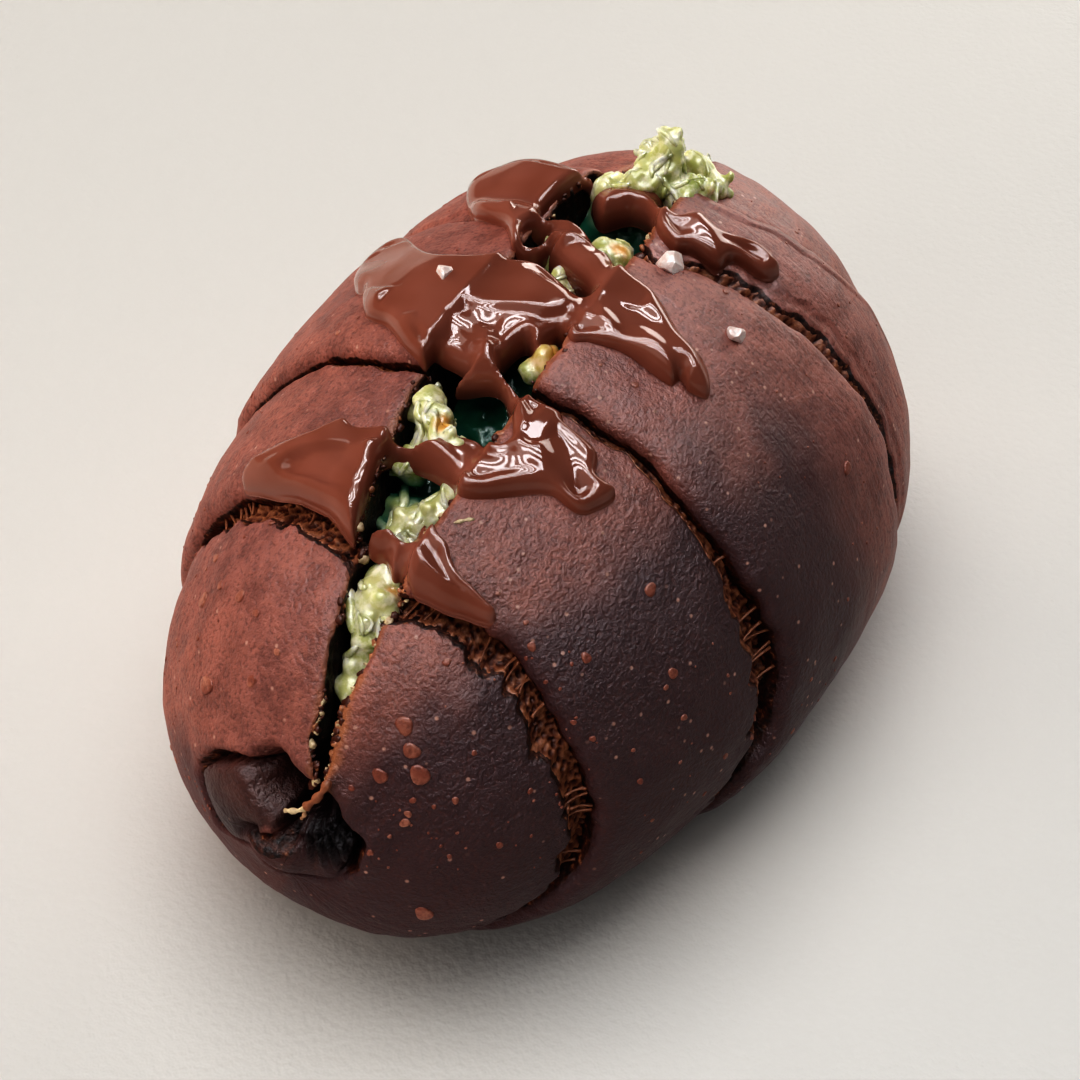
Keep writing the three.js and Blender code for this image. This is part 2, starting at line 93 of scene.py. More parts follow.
def smooth_curve(rows: tuple, at: Array, column: int = 1, period: float = 0.0) -> Array:
    """Value of a smooth curve drawn through rows of a key and its values.

    Args:
        rows: tuples whose first number is the key, in rising order.
        at: keys at which the curve is read.
        column: which number of each row the curve goes through.
        period: length after which the curve repeats, or 0 for an open one.

    Returns:
        The curve's value at each key.
    """
    keys = np.array([row[0] for row in rows], dtype=float)
    values = np.array([row[column] for row in rows], dtype=float)
    if period:
        at = (at - keys[0]) % period + keys[0]
        keys = np.concatenate([keys - period, keys, keys + period])
        values = np.tile(values, 3)
    at = np.clip(at, keys[0], keys[-1])
    slopes = np.empty_like(values)
    slopes[1:-1] = (values[2:] - values[:-2]) / (keys[2:] - keys[:-2])
    slopes[0] = (values[1] - values[0]) / (keys[1] - keys[0])
    slopes[-1] = (values[-1] - values[-2]) / (keys[-1] - keys[-2])
    i = np.clip(np.searchsorted(keys, at, side="right") - 1, 0, len(keys) - 2)
    span = keys[i + 1] - keys[i]
    f = (at - keys[i]) / span
    rise = (values[i + 1] - values[i]) * f * f * (3.0 - 2.0 * f)
    return values[i] + rise + span * f * (1.0 - f) * ((1.0 - f) * slopes[i] - f * slopes[i + 1])


def lattice(cell: Array, seed: int) -> Array:
    """A repeatable random number from 0 to 1 for each whole-number place.

    Args:
        cell: whole numbers, three in the last axis.
        seed: picks one of many such sets.

    Returns:
        One number for each place.
    """
    mixed = cell[..., 0] * 73856093 ^ cell[..., 1] * 19349663 ^ cell[..., 2] * 83492791 ^ seed * 2654435
    mixed = (mixed ^ (mixed >> 13)) * 1274126177 & 0x7FFFFFFF
    mixed = (mixed ^ (mixed >> 16)) * 1103515245 & 0x7FFFFFFF
    return (mixed >> 7 & 0xFFFF) / 65535.0


def noise(points: Array, wavelength: float, seed: int = 0, octaves: int = 1) -> Array:
    """Smooth random unevenness from -1 to 1.

    Args:
        points: places in millimetres, three numbers in the last axis.
        wavelength: size of its coarsest bumps in millimetres.
        seed: picks one of many such patterns.
        octaves: how many finer patterns are added, each half as strong.

    Returns:
        The unevenness at each place.
    """
    total = np.zeros(points.shape[:-1])
    strength = 0.0
    for octave in range(octaves):
        scaled = points * (2.0**octave / wavelength) + 17.3 * (octave + 1)
        cell = np.floor(scaled).astype(np.int64)
        f = scaled - cell
        f = f * f * f * (f * (f * 6.0 - 15.0) + 10.0)
        value = np.zeros(points.shape[:-1])
        for corner in itertools.product((0, 1), repeat=3):
            weight = np.prod(np.where(np.array(corner) == 1, f, 1.0 - f), axis=-1)
            value += weight * lattice(cell + np.array(corner), seed + 31 * octave)
        total += (2.0 * value - 1.0) * 0.5**octave
        strength += 0.5**octave
    return total / strength * NOISE_GAIN


def cells(points: Array, size: float, seed: int = 0) -> Array:
    """Distance to the nearest of many scattered points, as a share of their spacing.

    Args:
        points: places in millimetres, three numbers in the last axis.
        size: mean spacing of the scattered points in millimetres.
        seed: picks one of many such patterns.

    Returns:
        The distance from each place.
    """
    scaled = points / size + 5.7
    cell = np.floor(scaled).astype(np.int64)
    nearest = np.full(points.shape[:-1], 9.0)
    for offset in itertools.product((-1, 0, 1), repeat=3):
        here = cell + np.array(offset)
        jitter = np.stack([lattice(here, seed + k) for k in (1, 2, 3)], axis=-1)
        nearest = np.minimum(nearest, np.linalg.norm(here + jitter - scaled, axis=-1))
    return nearest


def unit(vectors: Array) -> Array:
    """Vectors made one long."""
    return vectors / np.maximum(np.linalg.norm(vectors, axis=-1, keepdims=True), 1e-9)


# ---- meshes


def placed_object(name: str, data: bpy.types.ID) -> Piece:
    """A new object in the scene that holds some data.

    Args:
        name: its name.
        data: its mesh, lamp or camera.

    Returns:
        The object.
    """
    thing = bpy.data.objects.new(name, data)
    bpy.context.scene.collection.objects.link(thing)
    return thing


def mesh_object(name: str, points: Array, faces: list, smooth: bool = True) -> Piece:
    """Makes an object from points in the roll's millimetres.

    Args:
        name: the piece's name.
        points: one row of three numbers for each vertex.
        faces: lists of vertex numbers, or an array of them.
        smooth: whether its shading is smooth.

    Returns:
        The new object, linked to the scene.
    """
    mesh = bpy.data.meshes.new(name)
    placed = (np.asarray(points, dtype=float) - BOX_CENTRE) * MM
    mesh.from_pydata(placed.tolist(), [], [tuple(map(int, face)) for face in faces])
    mesh.validate()
    mesh.shade_smooth() if smooth else mesh.shade_flat()
    return placed_object(name, mesh)


def add_values(piece: Piece, name: str, values: Array) -> None:
    """Stores one number for each vertex, for the piece's material to read.

    Args:
        piece: the object whose mesh gets it.
        name: the name by which the material reads it.
        values: one number for each vertex.
    """
    layer = piece.data.attributes.new(name, "FLOAT", "POINT")
    layer.data.foreach_set("value", np.asarray(values, dtype=np.float32).ravel())


def weld(piece: Piece, distance: float = 0.002) -> None:
    """Joins vertices that lie together, and drops what that flattens.

    Args:
        piece: the object whose mesh is welded.
        distance: how close in millimetres vertices are joined.
    """
    work = bmesh.new()
    work.from_mesh(piece.data)
    bmesh.ops.remove_doubles(work, verts=work.verts, dist=distance * MM)
    bmesh.ops.dissolve_degenerate(work, edges=work.edges, dist=1e-7)
    bmesh.ops.recalc_face_normals(work, faces=work.faces)
    work.to_mesh(piece.data)
    work.free()


def ring_faces(rings: int, count: int) -> Array:
    """Faces between neighbouring closed rings of points.

    Args:
        rings: how many rings there are.
        count: points in each ring.

    Returns:
        One row of four vertex numbers for each face.
    """
    r, c = np.meshgrid(np.arange(rings - 1), np.arange(count), indexing="ij")
    a = r * count + c
    b = r * count + (c + 1) % count
    return np.stack([a, b, b + count, a + count], axis=-1).reshape(-1, 4)


def capped_rings(rings: int, count: int) -> list:
    """Faces of a closed body made of rings of points.

    Args:
        rings: how many rings there are.
        count: points in each ring.

    Returns:
        The faces between the rings, and one over each end.
    """
    faces = ring_faces(rings, count).tolist()
    faces.append(list(range(count))[::-1])
    faces.append(list(range((rings - 1) * count, rings * count)))
    return faces


def taken(work: bmesh.types.BMesh) -> Solid:
    """Takes the points and faces out of a mesh being worked on, and frees it.

    Args:
        work: the mesh.

    Returns:
        Its points and faces.
    """
    work.verts.ensure_lookup_table()
    points = np.array([v.co[:] for v in work.verts])
    faces = [[v.index for v in f.verts] for f in work.faces]
    work.free()
    return points, faces


def round_ball(subdivisions: int) -> Solid:
    """A ball of radius 1 about the origin.

    Args:
        subdivisions: how finely its faces are divided.

    Returns:
        Its points and faces.
    """
    work = bmesh.new()
    bmesh.ops.create_icosphere(work, subdivisions=subdivisions, radius=1.0)
    return taken(work)


def curve_through(places: tuple, count: int) -> Array:
    """Points of a smooth curve through places.

    Args:
        places: x, y and z of each.
        count: how many points it gets.

    Returns:
        The curve's points.
    """
    rows = tuple((float(k), *spot) for k, spot in enumerate(places))
    along = np.linspace(0.0, len(places) - 1.0, count)
    return np.stack([smooth_curve(rows, along, k) for k in (1, 2, 3)], axis=-1)


def tube(path: Array, radii: Array, sides: int = 6) -> Solid:
    """A closed round strand along a path.

    Args:
        path: points along its middle line, in millimetres.
        radii: its radius at each point.
        sides: how many sides it has.

    Returns:
        Its points and faces.
    """
    along = unit(np.gradient(path, axis=0))
    helper = np.array([0.0, 0.0, 1.0]) if abs(along[0, 2]) < 0.9 else np.array([1.0, 0.0, 0.0])
    across = unit(np.cross(along, helper))
    other = np.cross(along, across)
    turns = np.linspace(0.0, 2.0 * math.pi, sides, endpoint=False)
    ring = np.cos(turns)[None, :, None] * across[:, None] + np.sin(turns)[None, :, None] * other[:, None]
    points = (path[:, None] + radii[:, None, None] * ring).reshape(-1, 3)
    return points, capped_rings(len(path), sides)


def joined(parts: list[Solid]) -> Solid:
    """Many small meshes as one.

    Args:
        parts: points and faces of each.

    Returns:
        The points and faces of all of them.
    """
    points, faces, start = [], [], 0
    for part_points, part_faces in parts:
        points.append(part_points)
        faces.extend([[start + v for v in face] for face in part_faces])
        start += len(part_points)
    return np.concatenate(points), faces


# ---- materials


def linear(colour: str) -> tuple[float, float, float, float]:
    """An sRGB hex colour as linear numbers.

    Args:
        colour: six hex digits after a #.

    Returns:
        Red, green, blue and an alpha of 1.
    """
    parts = [int(colour[i : i + 2], 16) / 255.0 for i in (1, 3, 5)]
    bent = [c / 12.92 if c <= 0.04045 else ((c + 0.055) / 1.055) ** 2.4 for c in parts]
    return (*bent, 1.0)


def per_mm(size: float) -> float:
    """Scale of a pattern in metres whose features are this many millimetres wide."""
    return 1.0 / (size * MM)


def add_node(tree: bpy.types.NodeTree, kind: str, inputs: dict | None = None,
             **settings) -> bpy.types.Node:
    """Adds a node with its settings, values and links.

    Args:
        tree: the material's node tree.
        kind: the node's type.
        inputs: for each input's name or number, a value or the output that it reads.
        settings: the node's own properties.

    Returns:
        The new node.
    """
    node = tree.nodes.new(kind)
    for key, value in settings.items():
        setattr(node, key, value)
    for key, value in (inputs or {}).items():
        if isinstance(value, Socket):
            tree.links.new(value, node.inputs[key])
        else:
            node.inputs[key].default_value = value
    return node


# strength of each finer level of a random pattern, as a share of the level above it
FINE_SHARE = 0.6


@dataclass(frozen=True)
class Coat:
    """A colour that covers what lies under it where a pattern's value goes from low to high."""

    pattern: Socket
    low: float
    high: float
    colour: tuple | Socket
    most: float = 1.0


class Layup:
    """A material being laid up: its tree, its shader, and the place that its patterns are read at."""

    def __init__(self, name: str) -> None:
        """Starts an empty material.

        Args:
            name: the material's name.
        """
        self.material = bpy.data.materials.new(name)
        self.material.use_nodes = True
        self.tree = self.material.node_tree
        self.tree.nodes.clear()
        self.shader = add_node(self.tree, "ShaderNodeBsdfPrincipled")
        add_node(self.tree, "ShaderNodeOutputMaterial", {0: self.shader.outputs[0]})
        self.place = add_node(self.tree, "ShaderNodeTexCoord").outputs["Object"]

    def read(self, names: tuple[str, ...]) -> list[Socket]:
        """Outputs of the values that the mesh stores under these names."""
        return [add_node(self.tree, "ShaderNodeAttribute", attribute_name=name).outputs["Fac"]
                for name in names]

    def patterns(self, sizes: tuple[tuple[float, float], ...]) -> list[Socket]:
        """Adds random patterns.

        Args:
            sizes: the feature size in millimetres and the amount of fine detail of each.

        Returns:
            Their outputs.
        """
        outputs = []
        for size, detail in sizes:
            inputs = {"Vector": self.place, "Scale": per_mm(size), "Detail": detail, "Roughness": FINE_SHARE}
            outputs.append(add_node(self.tree, "ShaderNodeTexNoise", inputs).outputs[0])
        return outputs

    def coats(self, ground: tuple | Socket, coats: tuple[Coat, ...]) -> Socket:
        """Lays coats over a ground colour.

        Args:
            ground: the lowest colour, or the output that gives it.
            coats: the coats, from the lowest to the topmost.

        Returns:
            The output of the finished colour.
        """
        for coat in coats:
            limits = {0: coat.pattern, 1: coat.low, 2: coat.high, 4: coat.most}
            share = add_node(self.tree, "ShaderNodeMapRange", limits).outputs[0]
            layers = {0: share, 6: ground, 7: coat.colour}
            ground = add_node(self.tree, "ShaderNodeMix", layers, data_type="RGBA").outputs[2]
        return ground

    def finish(self, colour: tuple | Socket, relief: Socket, depth_mm: float,
               gloss: dict[str, float | tuple]) -> Material:
        """Joins colour and relief to the shader.

        Args:
            colour: the surface's colour.
            relief: the pattern that its fine relief follows.
            depth_mm: how deep that relief is.
            gloss: values for the shader's other sockets.

        Returns:
            The finished material.
        """
        settings = {"Base Color": colour, **gloss}
        bump = add_node(self.tree, "ShaderNodeBump", {"Height": relief, "Distance": depth_mm * MM})
        settings["Normal"] = bump.outputs[0]
        for name, value in settings.items():
            if isinstance(value, Socket):
                self.tree.links.new(value, self.shader.inputs[name])
            else:
                self.shader.inputs[name].default_value = value
        return self.material


@dataclass(frozen=True)
class CrustFinish:
    """Cocoa bread crust, proofed and oven baked."""

    skin: str = "#9c665b"
    skin_dark: str = "#623a34"
    skin_warm: str = "#ad7161"
    speck: str = "#bd9384"
    # dark, cool colour of the painted shade on the side away from the light and the low coil end
    shaded_side: str = "#452f33"
    # near black of the painted shade in the coil end's opening, its pits and on the split's walls
    inner: str = "#231a1d"
    crumb: str = "#5c3021"
    crumb_pale: str = "#b27650"
    crumb_dark: str = "#1d0c08"
    grain_mm: float = 0.5
    pebble_mm: float = 0.95
    speck_mm: float = 1.5
    stretch_mm: float = 1.3

    def build(self) -> Material:
        """The crust's material.

        The skin dried and browned as it baked, which gives a satin sheen broken up by a fine leathery
        grain, with pale specks of flour. The side away from the light and the low part of the coil end are
        painted darker, as painted shade, and the coil end's opening and the split's walls are painted near
        black, also as painted shade; the inner turn stayed moist and shines. Where the dough was pulled
        round the coil the grain runs in lines, and where the mesh says that it is torn its dark open crumb
        shows.

        Returns:
            The material.
        """
        lay = Layup("baked cocoa crust")
        torn, edge, inner, pull, shaded_side = lay.read(("torn", "edge", "inner", "pull", "shaded_side"))
        sizes = ((22.0, 3.0), (3.2, 4.0), (0.8, 3.0), (self.grain_mm, 4.0))
        broad, mottle, fine, grain = lay.patterns(sizes)
        crumbs = lay.patterns(((0.9, 4.0),))[0]
        tree = lay.tree
        flour = add_node(tree, "ShaderNodeTexVoronoi", {
            "Vector": lay.place, "Scale": per_mm(self.speck_mm)})
        rarity = add_node(tree, "ShaderNodeSeparateColor", {0: flour.outputs["Color"]}).outputs[0]
        near = add_node(tree, "ShaderNodeMapRange", {0: flour.outputs["Distance"], 1: 0.2, 2: 0.09})
        rare = add_node(tree, "ShaderNodeMapRange", {0: rarity, 1: 0.74, 2: 0.8})
        specks = add_node(tree, "ShaderNodeMath", {
            0: near.outputs[0], 1: rare.outputs[0]}, operation="MULTIPLY")
        ragged_tear = add_node(tree, "ShaderNodeMath", {
            0: fine, 1: 0.6, 2: torn}, operation="MULTIPLY_ADD")
        crumb = lay.coats(linear(self.crumb_dark), (
            Coat(crumbs, 0.38, 0.60, linear(self.crumb)),
            Coat(crumbs, 0.60, 0.72, linear(self.crumb_pale))))
        colour = lay.coats(linear(self.skin), (
            Coat(broad, 0.35, 0.68, linear(self.skin_warm)),
            Coat(mottle, 0.60, 0.35, linear(self.skin_dark), 0.5),
            Coat(fine, 0.52, 0.72, linear(self.skin_warm), 0.4),
            # painted shade: darker on the side away from the light and on the low part of the coil end
            Coat(shaded_side, 0.0, 1.0, linear(self.shaded_side), 0.92),
            Coat(grain, 0.50, 0.34, linear(self.skin_dark), 0.6),
            Coat(specks.outputs[0], 0.0, 1.0, linear(self.speck)),
            Coat(edge, 0.1, 0.8, linear(self.crumb_pale), 0.8),
            Coat(ragged_tear.outputs[0], 0.72, 0.88, crumb),
            # painted shade: near black in the coil end's opening and pits and on the split's walls
            Coat(inner, 0.0, 1.0, linear(self.inner))))

        flow = add_node(tree, "ShaderNodeAttribute", attribute_name="flow").outputs["Vector"]
        pulled = add_node(tree, "ShaderNodeMapping", {
            "Vector": flow, "Scale": (1.0, 0.12, 1.0)}, vector_type="POINT")
        lines = add_node(tree, "ShaderNodeTexNoise", {
            "Vector": pulled.outputs[0], "Scale": 1.0 / self.stretch_mm,
            "Detail": 4.0, "Roughness": FINE_SHARE})
        pebbles = add_node(tree, "ShaderNodeTexVoronoi", {
            "Vector": lay.place, "Scale": per_mm(self.pebble_mm)}, feature="SMOOTH_F1")
        leather = add_node(tree, "ShaderNodeMath", {
            0: pebbles.outputs["Distance"], 1: -0.35, 2: grain}, operation="MULTIPLY_ADD")
        stretched = add_node(tree, "ShaderNodeMix", {
            0: pull, 2: leather.outputs[0], 3: lines.outputs[0]})
        relief = add_node(tree, "ShaderNodeMath", {
            0: leather.outputs[0], 1: 0.55, 2: stretched.outputs[0]}, operation="MULTIPLY_ADD")
        rough = add_node(tree, "ShaderNodeMapRange", {0: mottle, 1: 0.3, 2: 0.7, 3: 0.42, 4: 0.56})
        moist = add_node(tree, "ShaderNodeMix", {0: inner, 2: rough.outputs[0], 3: 0.26})
        gloss = {"Roughness": moist.outputs[0], "IOR": 1.45, "Specular IOR Level": 0.6}
        return lay.finish(colour, relief.outputs[0], 0.21, gloss)


@dataclass(frozen=True)
class BlisterFinish:
    """Crust blisters, blown up in the oven."""

    top: str = "#935a4a"
    pale: str = "#b07a66"
    dark: str = "#73443a"

    def build(self) -> Material:
        """The blisters' material.

        Steam lifted thin bubbles off the crust, and they dried to paler, redder spots with a dull shine.

        Returns:
            The material.
        """
        lay = Layup("blistered cocoa crust")
        spots, fine = lay.patterns(((2.4, 2.0), (0.5, 3.0)))
        colour = lay.coats(linear(self.top), (
            Coat(spots, 0.42, 0.66, linear(self.pale)),
            Coat(fine, 0.55, 0.35, linear(self.dark), 0.6)))
        return lay.finish(colour, fine, 0.12, {
            "Roughness": 0.42, "IOR": 1.45, "Specular IOR Level": 0.45})


@dataclass(frozen=True)
class CrumbFinish:
    """Cocoa bread crumb, torn open."""

    # near black painted at the bottom of the cells: painted shade
    deep: str = "#180c0b"
    body: str = "#75422f"
    thread: str = "#c58a66"
    flake: str = "#dfcba6"

    def build(self) -> Material:
        """The torn crumb's material.

        Dough pulled apart as it rose, leaving moist cells between walls and threads whose thin edges dried
        to a pale orange brown; down in the cells the colour is painted near black, as painted shade. Flakes
        of pastry that cling to it are paler still.

        Returns:
            The material.
        """
        lay = Layup("torn cocoa crumb")
        height = lay.read(("height",))[0]
        grain = lay.patterns(((0.7, 4.0),))[0]
        # painted shade: the lower a point lies in its cells, the darker it is painted
        colour = lay.coats(linear(self.deep), (
            Coat(height, 0.15, 0.6, linear(self.body)),
            Coat(height, 0.55, 0.95, linear(self.thread)),
            Coat(height, 1.1, 1.4, linear(self.flake)),
            Coat(grain, 0.62, 0.4, linear(self.body), 0.45)))
        return lay.finish(colour, grain, 0.2, {"Roughness": 0.5, "IOR": 1.42, "Specular IOR Level": 0.5})


@dataclass(frozen=True)
class PistachioFinish:
    """Pistachio cream, ground and whipped with butter."""

    cream: str = "#d6d3a0"
    pale: str = "#f4efd4"
    green: str = "#b0b671"
    gold: str = "#dda04f"
    # darker blue green of the painted shade deep in the split
    deep: str = "#3f7f6a"

    def build(self) -> Material:
        """The cream's material.

        Ground nuts in fat give a moist paste that lets some light in, yellow green and mottled, with
        paler lumps and a few golden crumbs of pastry. Where it lies down in the split it is painted a
        darker blue green, as painted shade.

        Returns:
            The material.
        """
        lay = Layup("pistachio cream")
        sunk, toasted = lay.read(("sunk", "toasted"))
        broad, fine = lay.patterns(((5.5, 3.0), (1.6, 4.0)))
        colour = lay.coats(linear(self.green), (
            Coat(broad, 0.34, 0.58, linear(self.cream)),
            Coat(fine, 0.44, 0.62, linear(self.pale)),
            Coat(toasted, 0.2, 0.8, linear(self.gold), 0.85),
            # painted shade: darker and bluer the deeper the cream lies in the split
            Coat(sunk, 0.0, 1.0, linear(self.deep))))
        return lay.finish(colour, fine, 0.12, {
            "Roughness": 0.22, "IOR": 1.46, "Subsurface Weight": 0.45,
            "Subsurface Radius": (1.0, 0.9, 0.4), "Subsurface Scale": 1.8 * MM})


@dataclass(frozen=True)
class SauceFinish:
    """Chocolate sauce, poured warm and set."""

    cocoa: str = "#8b5848"
    edge: str = "#946152"

    def build(self) -> Material:
        """The sauce's material.

        Poured and left to set, it has a skin as smooth as glass over opaque brown, so that it mirrors
        windows sharply and stays even in colour between them.

        Returns:
            The material.
        """
        lay = Layup("chocolate sauce")
        swell, skin = lay.patterns(((6.0, 1.0), (2.5, 1.0)))
        colour = lay.coats(linear(self.cocoa), (Coat(swell, 0.35, 0.65, linear(self.edge)),))
        return lay.finish(colour, skin, 0.02, {
            "Roughness": 0.07, "IOR": 1.47, "Specular IOR Level": 0.45})


@dataclass(frozen=True)
class SaltFinish:
    """Coarse salt, crushed from rock."""

    # the pink in this colour is painted light from the bread under the crystal
    crystal: str = "#f4dcd3"
    frost: str = "#fff6f2"

    def build(self) -> Material:
        """The salt's material.

        Crushing leaves clear faces beside frosted ones, so each crystal looks milky and glints where a face
        is clean. Its colour is painted pink, as painted light from the bread that it lies on.

        Returns:
            The material.
        """
        lay = Layup("coarse rock salt")
        cloud = lay.patterns(((0.8, 3.0),))[0]
        colour = lay.coats(linear(self.crystal), (Coat(cloud, 0.42, 0.66, linear(self.frost)),))
        return lay.finish(colour, cloud, 0.12, {
            "Roughness": 0.28, "IOR": 1.54, "Transmission Weight": 0.15})


@dataclass(frozen=True)
class FloorFinish:
    """Vinyl tabletop, embossed."""

    skin: str = "#d3cfca"
    # the real emboss is about half as wide, too fine to show here
    grain_mm: float = 1.3

    def build(self) -> Material:
        """The floor's material.

        A roller pressed a leathery grain into the warm white sheet, which breaks up its dull sheen.

        Returns:
            The material.
        """
        lay = Layup("pale embossed tabletop")
        grain = lay.patterns(((self.grain_mm, 2.0),))[0]
        return lay.finish(linear(self.skin), grain, 0.1, {"Roughness": 0.6})


# ---- the roll's form


@dataclass(frozen=True)
class Taper:
    """How one outline of the roll narrows to its ends: where it is fullest, how blunt each end is."""

    fullest: float
    near: float
    far: float

    def at(self, t: Array) -> Array:
        """Share of the full size that the outline has.

        Args:
            t: places along the roll, from -1 at the coil end to 1 at the far end.

        Returns:
            The share at each place.
        """
        near_side = t < self.fullest
        to_near, to_far = (self.fullest - t) / (1 + self.fullest), (t - self.fullest) / (1 - self.fullest)
        f = np.where(near_side, to_near, to_far)
        power = np.where(near_side, self.near, self.far)
        return np.sqrt(np.maximum(0.0, 1.0 - np.clip(f, 0.0, 1.0) ** power))


@dataclass(frozen=True)
class Seam:
    """A ring where one turn of dough ends on top of the next, with the torn groove under its lip."""

    upper: Toward
    # how far the lower turn dips under the lip
    sink: float
    # widths of the torn groove on the left, over the crest on the right, and on the right flank
    left: float
    right: float
    flank: float
    # angle and x of places on its way round the roll
    ring: tuple

    def around(self, angle: Array, shift: float) -> Array:
        """Places on a circle, at which a seam's unevenness is read so that it closes on itself."""
        a = np.radians(angle)
        return np.stack([60 * np.cos(a), 60 * np.sin(a), np.full_like(a, shift)], axis=-1)

    def x(self, angle: Array) -> Array:
        """Where the seam runs along X.

        Args:
            angle: angles round the roll.

        Returns:
            Its x at each angle.
        """
        steady = smooth_curve(self.ring, angle, period=360.0)
        return steady + 0.45 * noise(self.around(angle, self.ring[0][1]), 5.0, seed=7, octaves=2)

    def width(self, angle: Array) -> Array:
        """Width of the torn groove.

        Args:
            angle: angles round the roll.

        Returns:
            The width at each angle.
        """
        angle = angle % 360.0
        upper = self.left + (self.right - self.left) * ramp(78, 104, angle)
        flank = upper + (self.flank - upper) * ramp(130, 176, angle)
        steady = flank + (self.left - flank) * ramp(225, 330, angle)
        return steady * (1.0 + 0.35 * noise(self.around(angle, self.ring[1][1]), 4.0, seed=11, octaves=2))


@dataclass(frozen=True)
class RollForm:
    """The roll's body: an oval loaf of five turns, split along its crest."""

    length: float = 115.0
    width: float = 80.8
    height: float = 60.3
    waist_share: float = 0.37
    base_press: float = 2.5
    upper_roundness: float = 1.88
    lower_roundness: float = 2.524
    crust_inset: float = 1.2
    lip_rise: float = 1.0
    sink_reach: float = 12.0
    groove_depth: float = 1.6
    turn_bulges: tuple = (1.8, 0.7, 0.9, 0.9, 1.6)
    width_taper: Taper = Taper(0.065, 1.847, 2.446)
    crest_taper: Taper = Taper(0.037, 2.135, 2.929)
    base_taper: Taper = Taper(0.037, 3.277, 4.496)
    seams: tuple = (
        Seam(Toward.FAR_END, 0.8, 2.8, 3.2, 3.4, (
            (20, -30.5), (50, -30.2), (72, -32.7), (84, -34.2), (100, -37.2), (116, -35.6),
            (146, -36.6), (176, -37.8), (195, -41.6), (240, -46.5), (290, -42), (335, -33))),
        Seam(Toward.FAR_END, 0.6, 1.1, 1.2, 5.0, (
            (40, -11.6), (60, -11.7), (74, -12.8), (100, -11.6), (112, -10.3), (144, -10.5),
            (168, -10), (180, -12.1), (190, -15.5), (235, -21), (270, -20.5), (310, -16), (345, -12))),
        Seam(Toward.COIL_END, 0.6, 1.3, 2.8, 3.0, (
            (20, 15.5), (52, 15.8), (69, 15.1), (102, 14), (109, 16.5), (120, 18.9), (140, 21.7),
            (155, 23.1), (169, 21.3), (195, 20.7), (240, 21.7), (290, 20), (340, 17.3))),
        Seam(Toward.COIL_END, 0.4, 1.0, 1.1, 1.3, (
            (20, 31), (60, 30.5), (76, 29.5), (104, 31.4), (121, 35.1), (131, 37.6), (146, 42.2),
            (170, 41.4), (220, 40.2), (270, 38), (320, 34.5))),
    )
    # x, middle y, half width at the crust, level of the floor
    split: tuple = (
        (-54.8, -3.7, 0.0, 34), (-52, -3.4, 1.0, 32), (-48, -2.9, 1.4, 30), (-40, -2.1, 2.7, 27),
        (-28, -0.9, 4.4, 24), (-14, 0.2, 6.2, 22), (4, 0.2, 6.2, 22), (20, 1.6, 6.6, 23),
        (33, 0.6, 4.6, 28), (46, 0.0, 0.0, 45))

    @property
    def half(self) -> float:
        """Half the roll's length."""
        return self.length / 2

    @property
    def waist(self) -> float:
        """Height at which the roll is widest."""
        return self.waist_share * self.height

    def smooth_body(self, x: Array, angle: Array) -> Array:
        """A point of the plain oval body.

        Args:
            x: places along the roll.
            angle: angles round it.

        Returns:
            Its points.
        """
        t = np.clip(x / self.half, -1.0, 1.0)
        cosine, sine = np.cos(np.radians(angle)), np.sin(np.radians(angle))
        power = np.where(sine > 0, 2.0 / self.upper_roundness, 2.0 / self.lower_roundness)
        across = np.sign(cosine) * np.abs(cosine) ** power
        rise = np.abs(sine) ** power
        up = (self.height - self.waist) * self.crest_taper.at(t)
        down = (self.waist + self.base_press) * self.base_taper.at(t)
        z = self.waist + np.where(sine > 0, up, -down) * rise
        return np.stack([t * self.half, self.width / 2 * self.width_taper.at(t) * across, z], axis=-1)

    def normal(self, x: Array, angle: Array) -> Array:
        """Directions straight out of the plain oval body.

        Args:
            x: places along the roll.
            angle: angles round it.

        Returns:
            A direction for each, one long.
        """
        step = 0.4
        inner = np.clip(x, -self.half + step, self.half - step)
        along = self.smooth_body(inner + step, angle) - self.smooth_body(inner - step, angle)
        turned = self.smooth_body(inner, angle + step) - self.smooth_body(inner, angle - step)
        return unit(np.cross(turned, along))

    def angle_at(self, x: Array, y: Array) -> Array:
        """The angle round the roll at which its upper side lies over a place in plan.

        Args:
            x: places along the roll.
            y: places across it.

        Returns:
            The angle at each place.
        """
        half = self.width / 2 * self.width_taper.at(np.clip(x / self.half, -0.999, 0.999))
        cosine = np.clip(np.abs(y) / half, 0.0, 0.995) ** (self.upper_roundness / 2)
        return np.degrees(np.arccos(np.sign(y) * cosine))

    def swelling(self, x: Array, angle: Array) -> Array:
        """How far each turn of dough swells between its seams.

        Args:
            x: places along the roll.
            angle: angles round it.

        Returns:
            The height that the swelling adds.
        """
        ends = np.full_like(x, self.half)
        edges = [-ends, *(seam.x(angle) for seam in self.seams), ends]
        height = np.zeros_like(x)
        for turn, bulge in enumerate(self.turn_bulges):
            share = np.clip((x - edges[turn]) / (edges[turn + 1] - edges[turn]), 0.0, 1.0)
            inside = (x >= edges[turn]) & (x <= edges[turn + 1])
            height += np.where(inside, bulge * np.sin(math.pi * share) ** 0.8, 0.0)
        return height

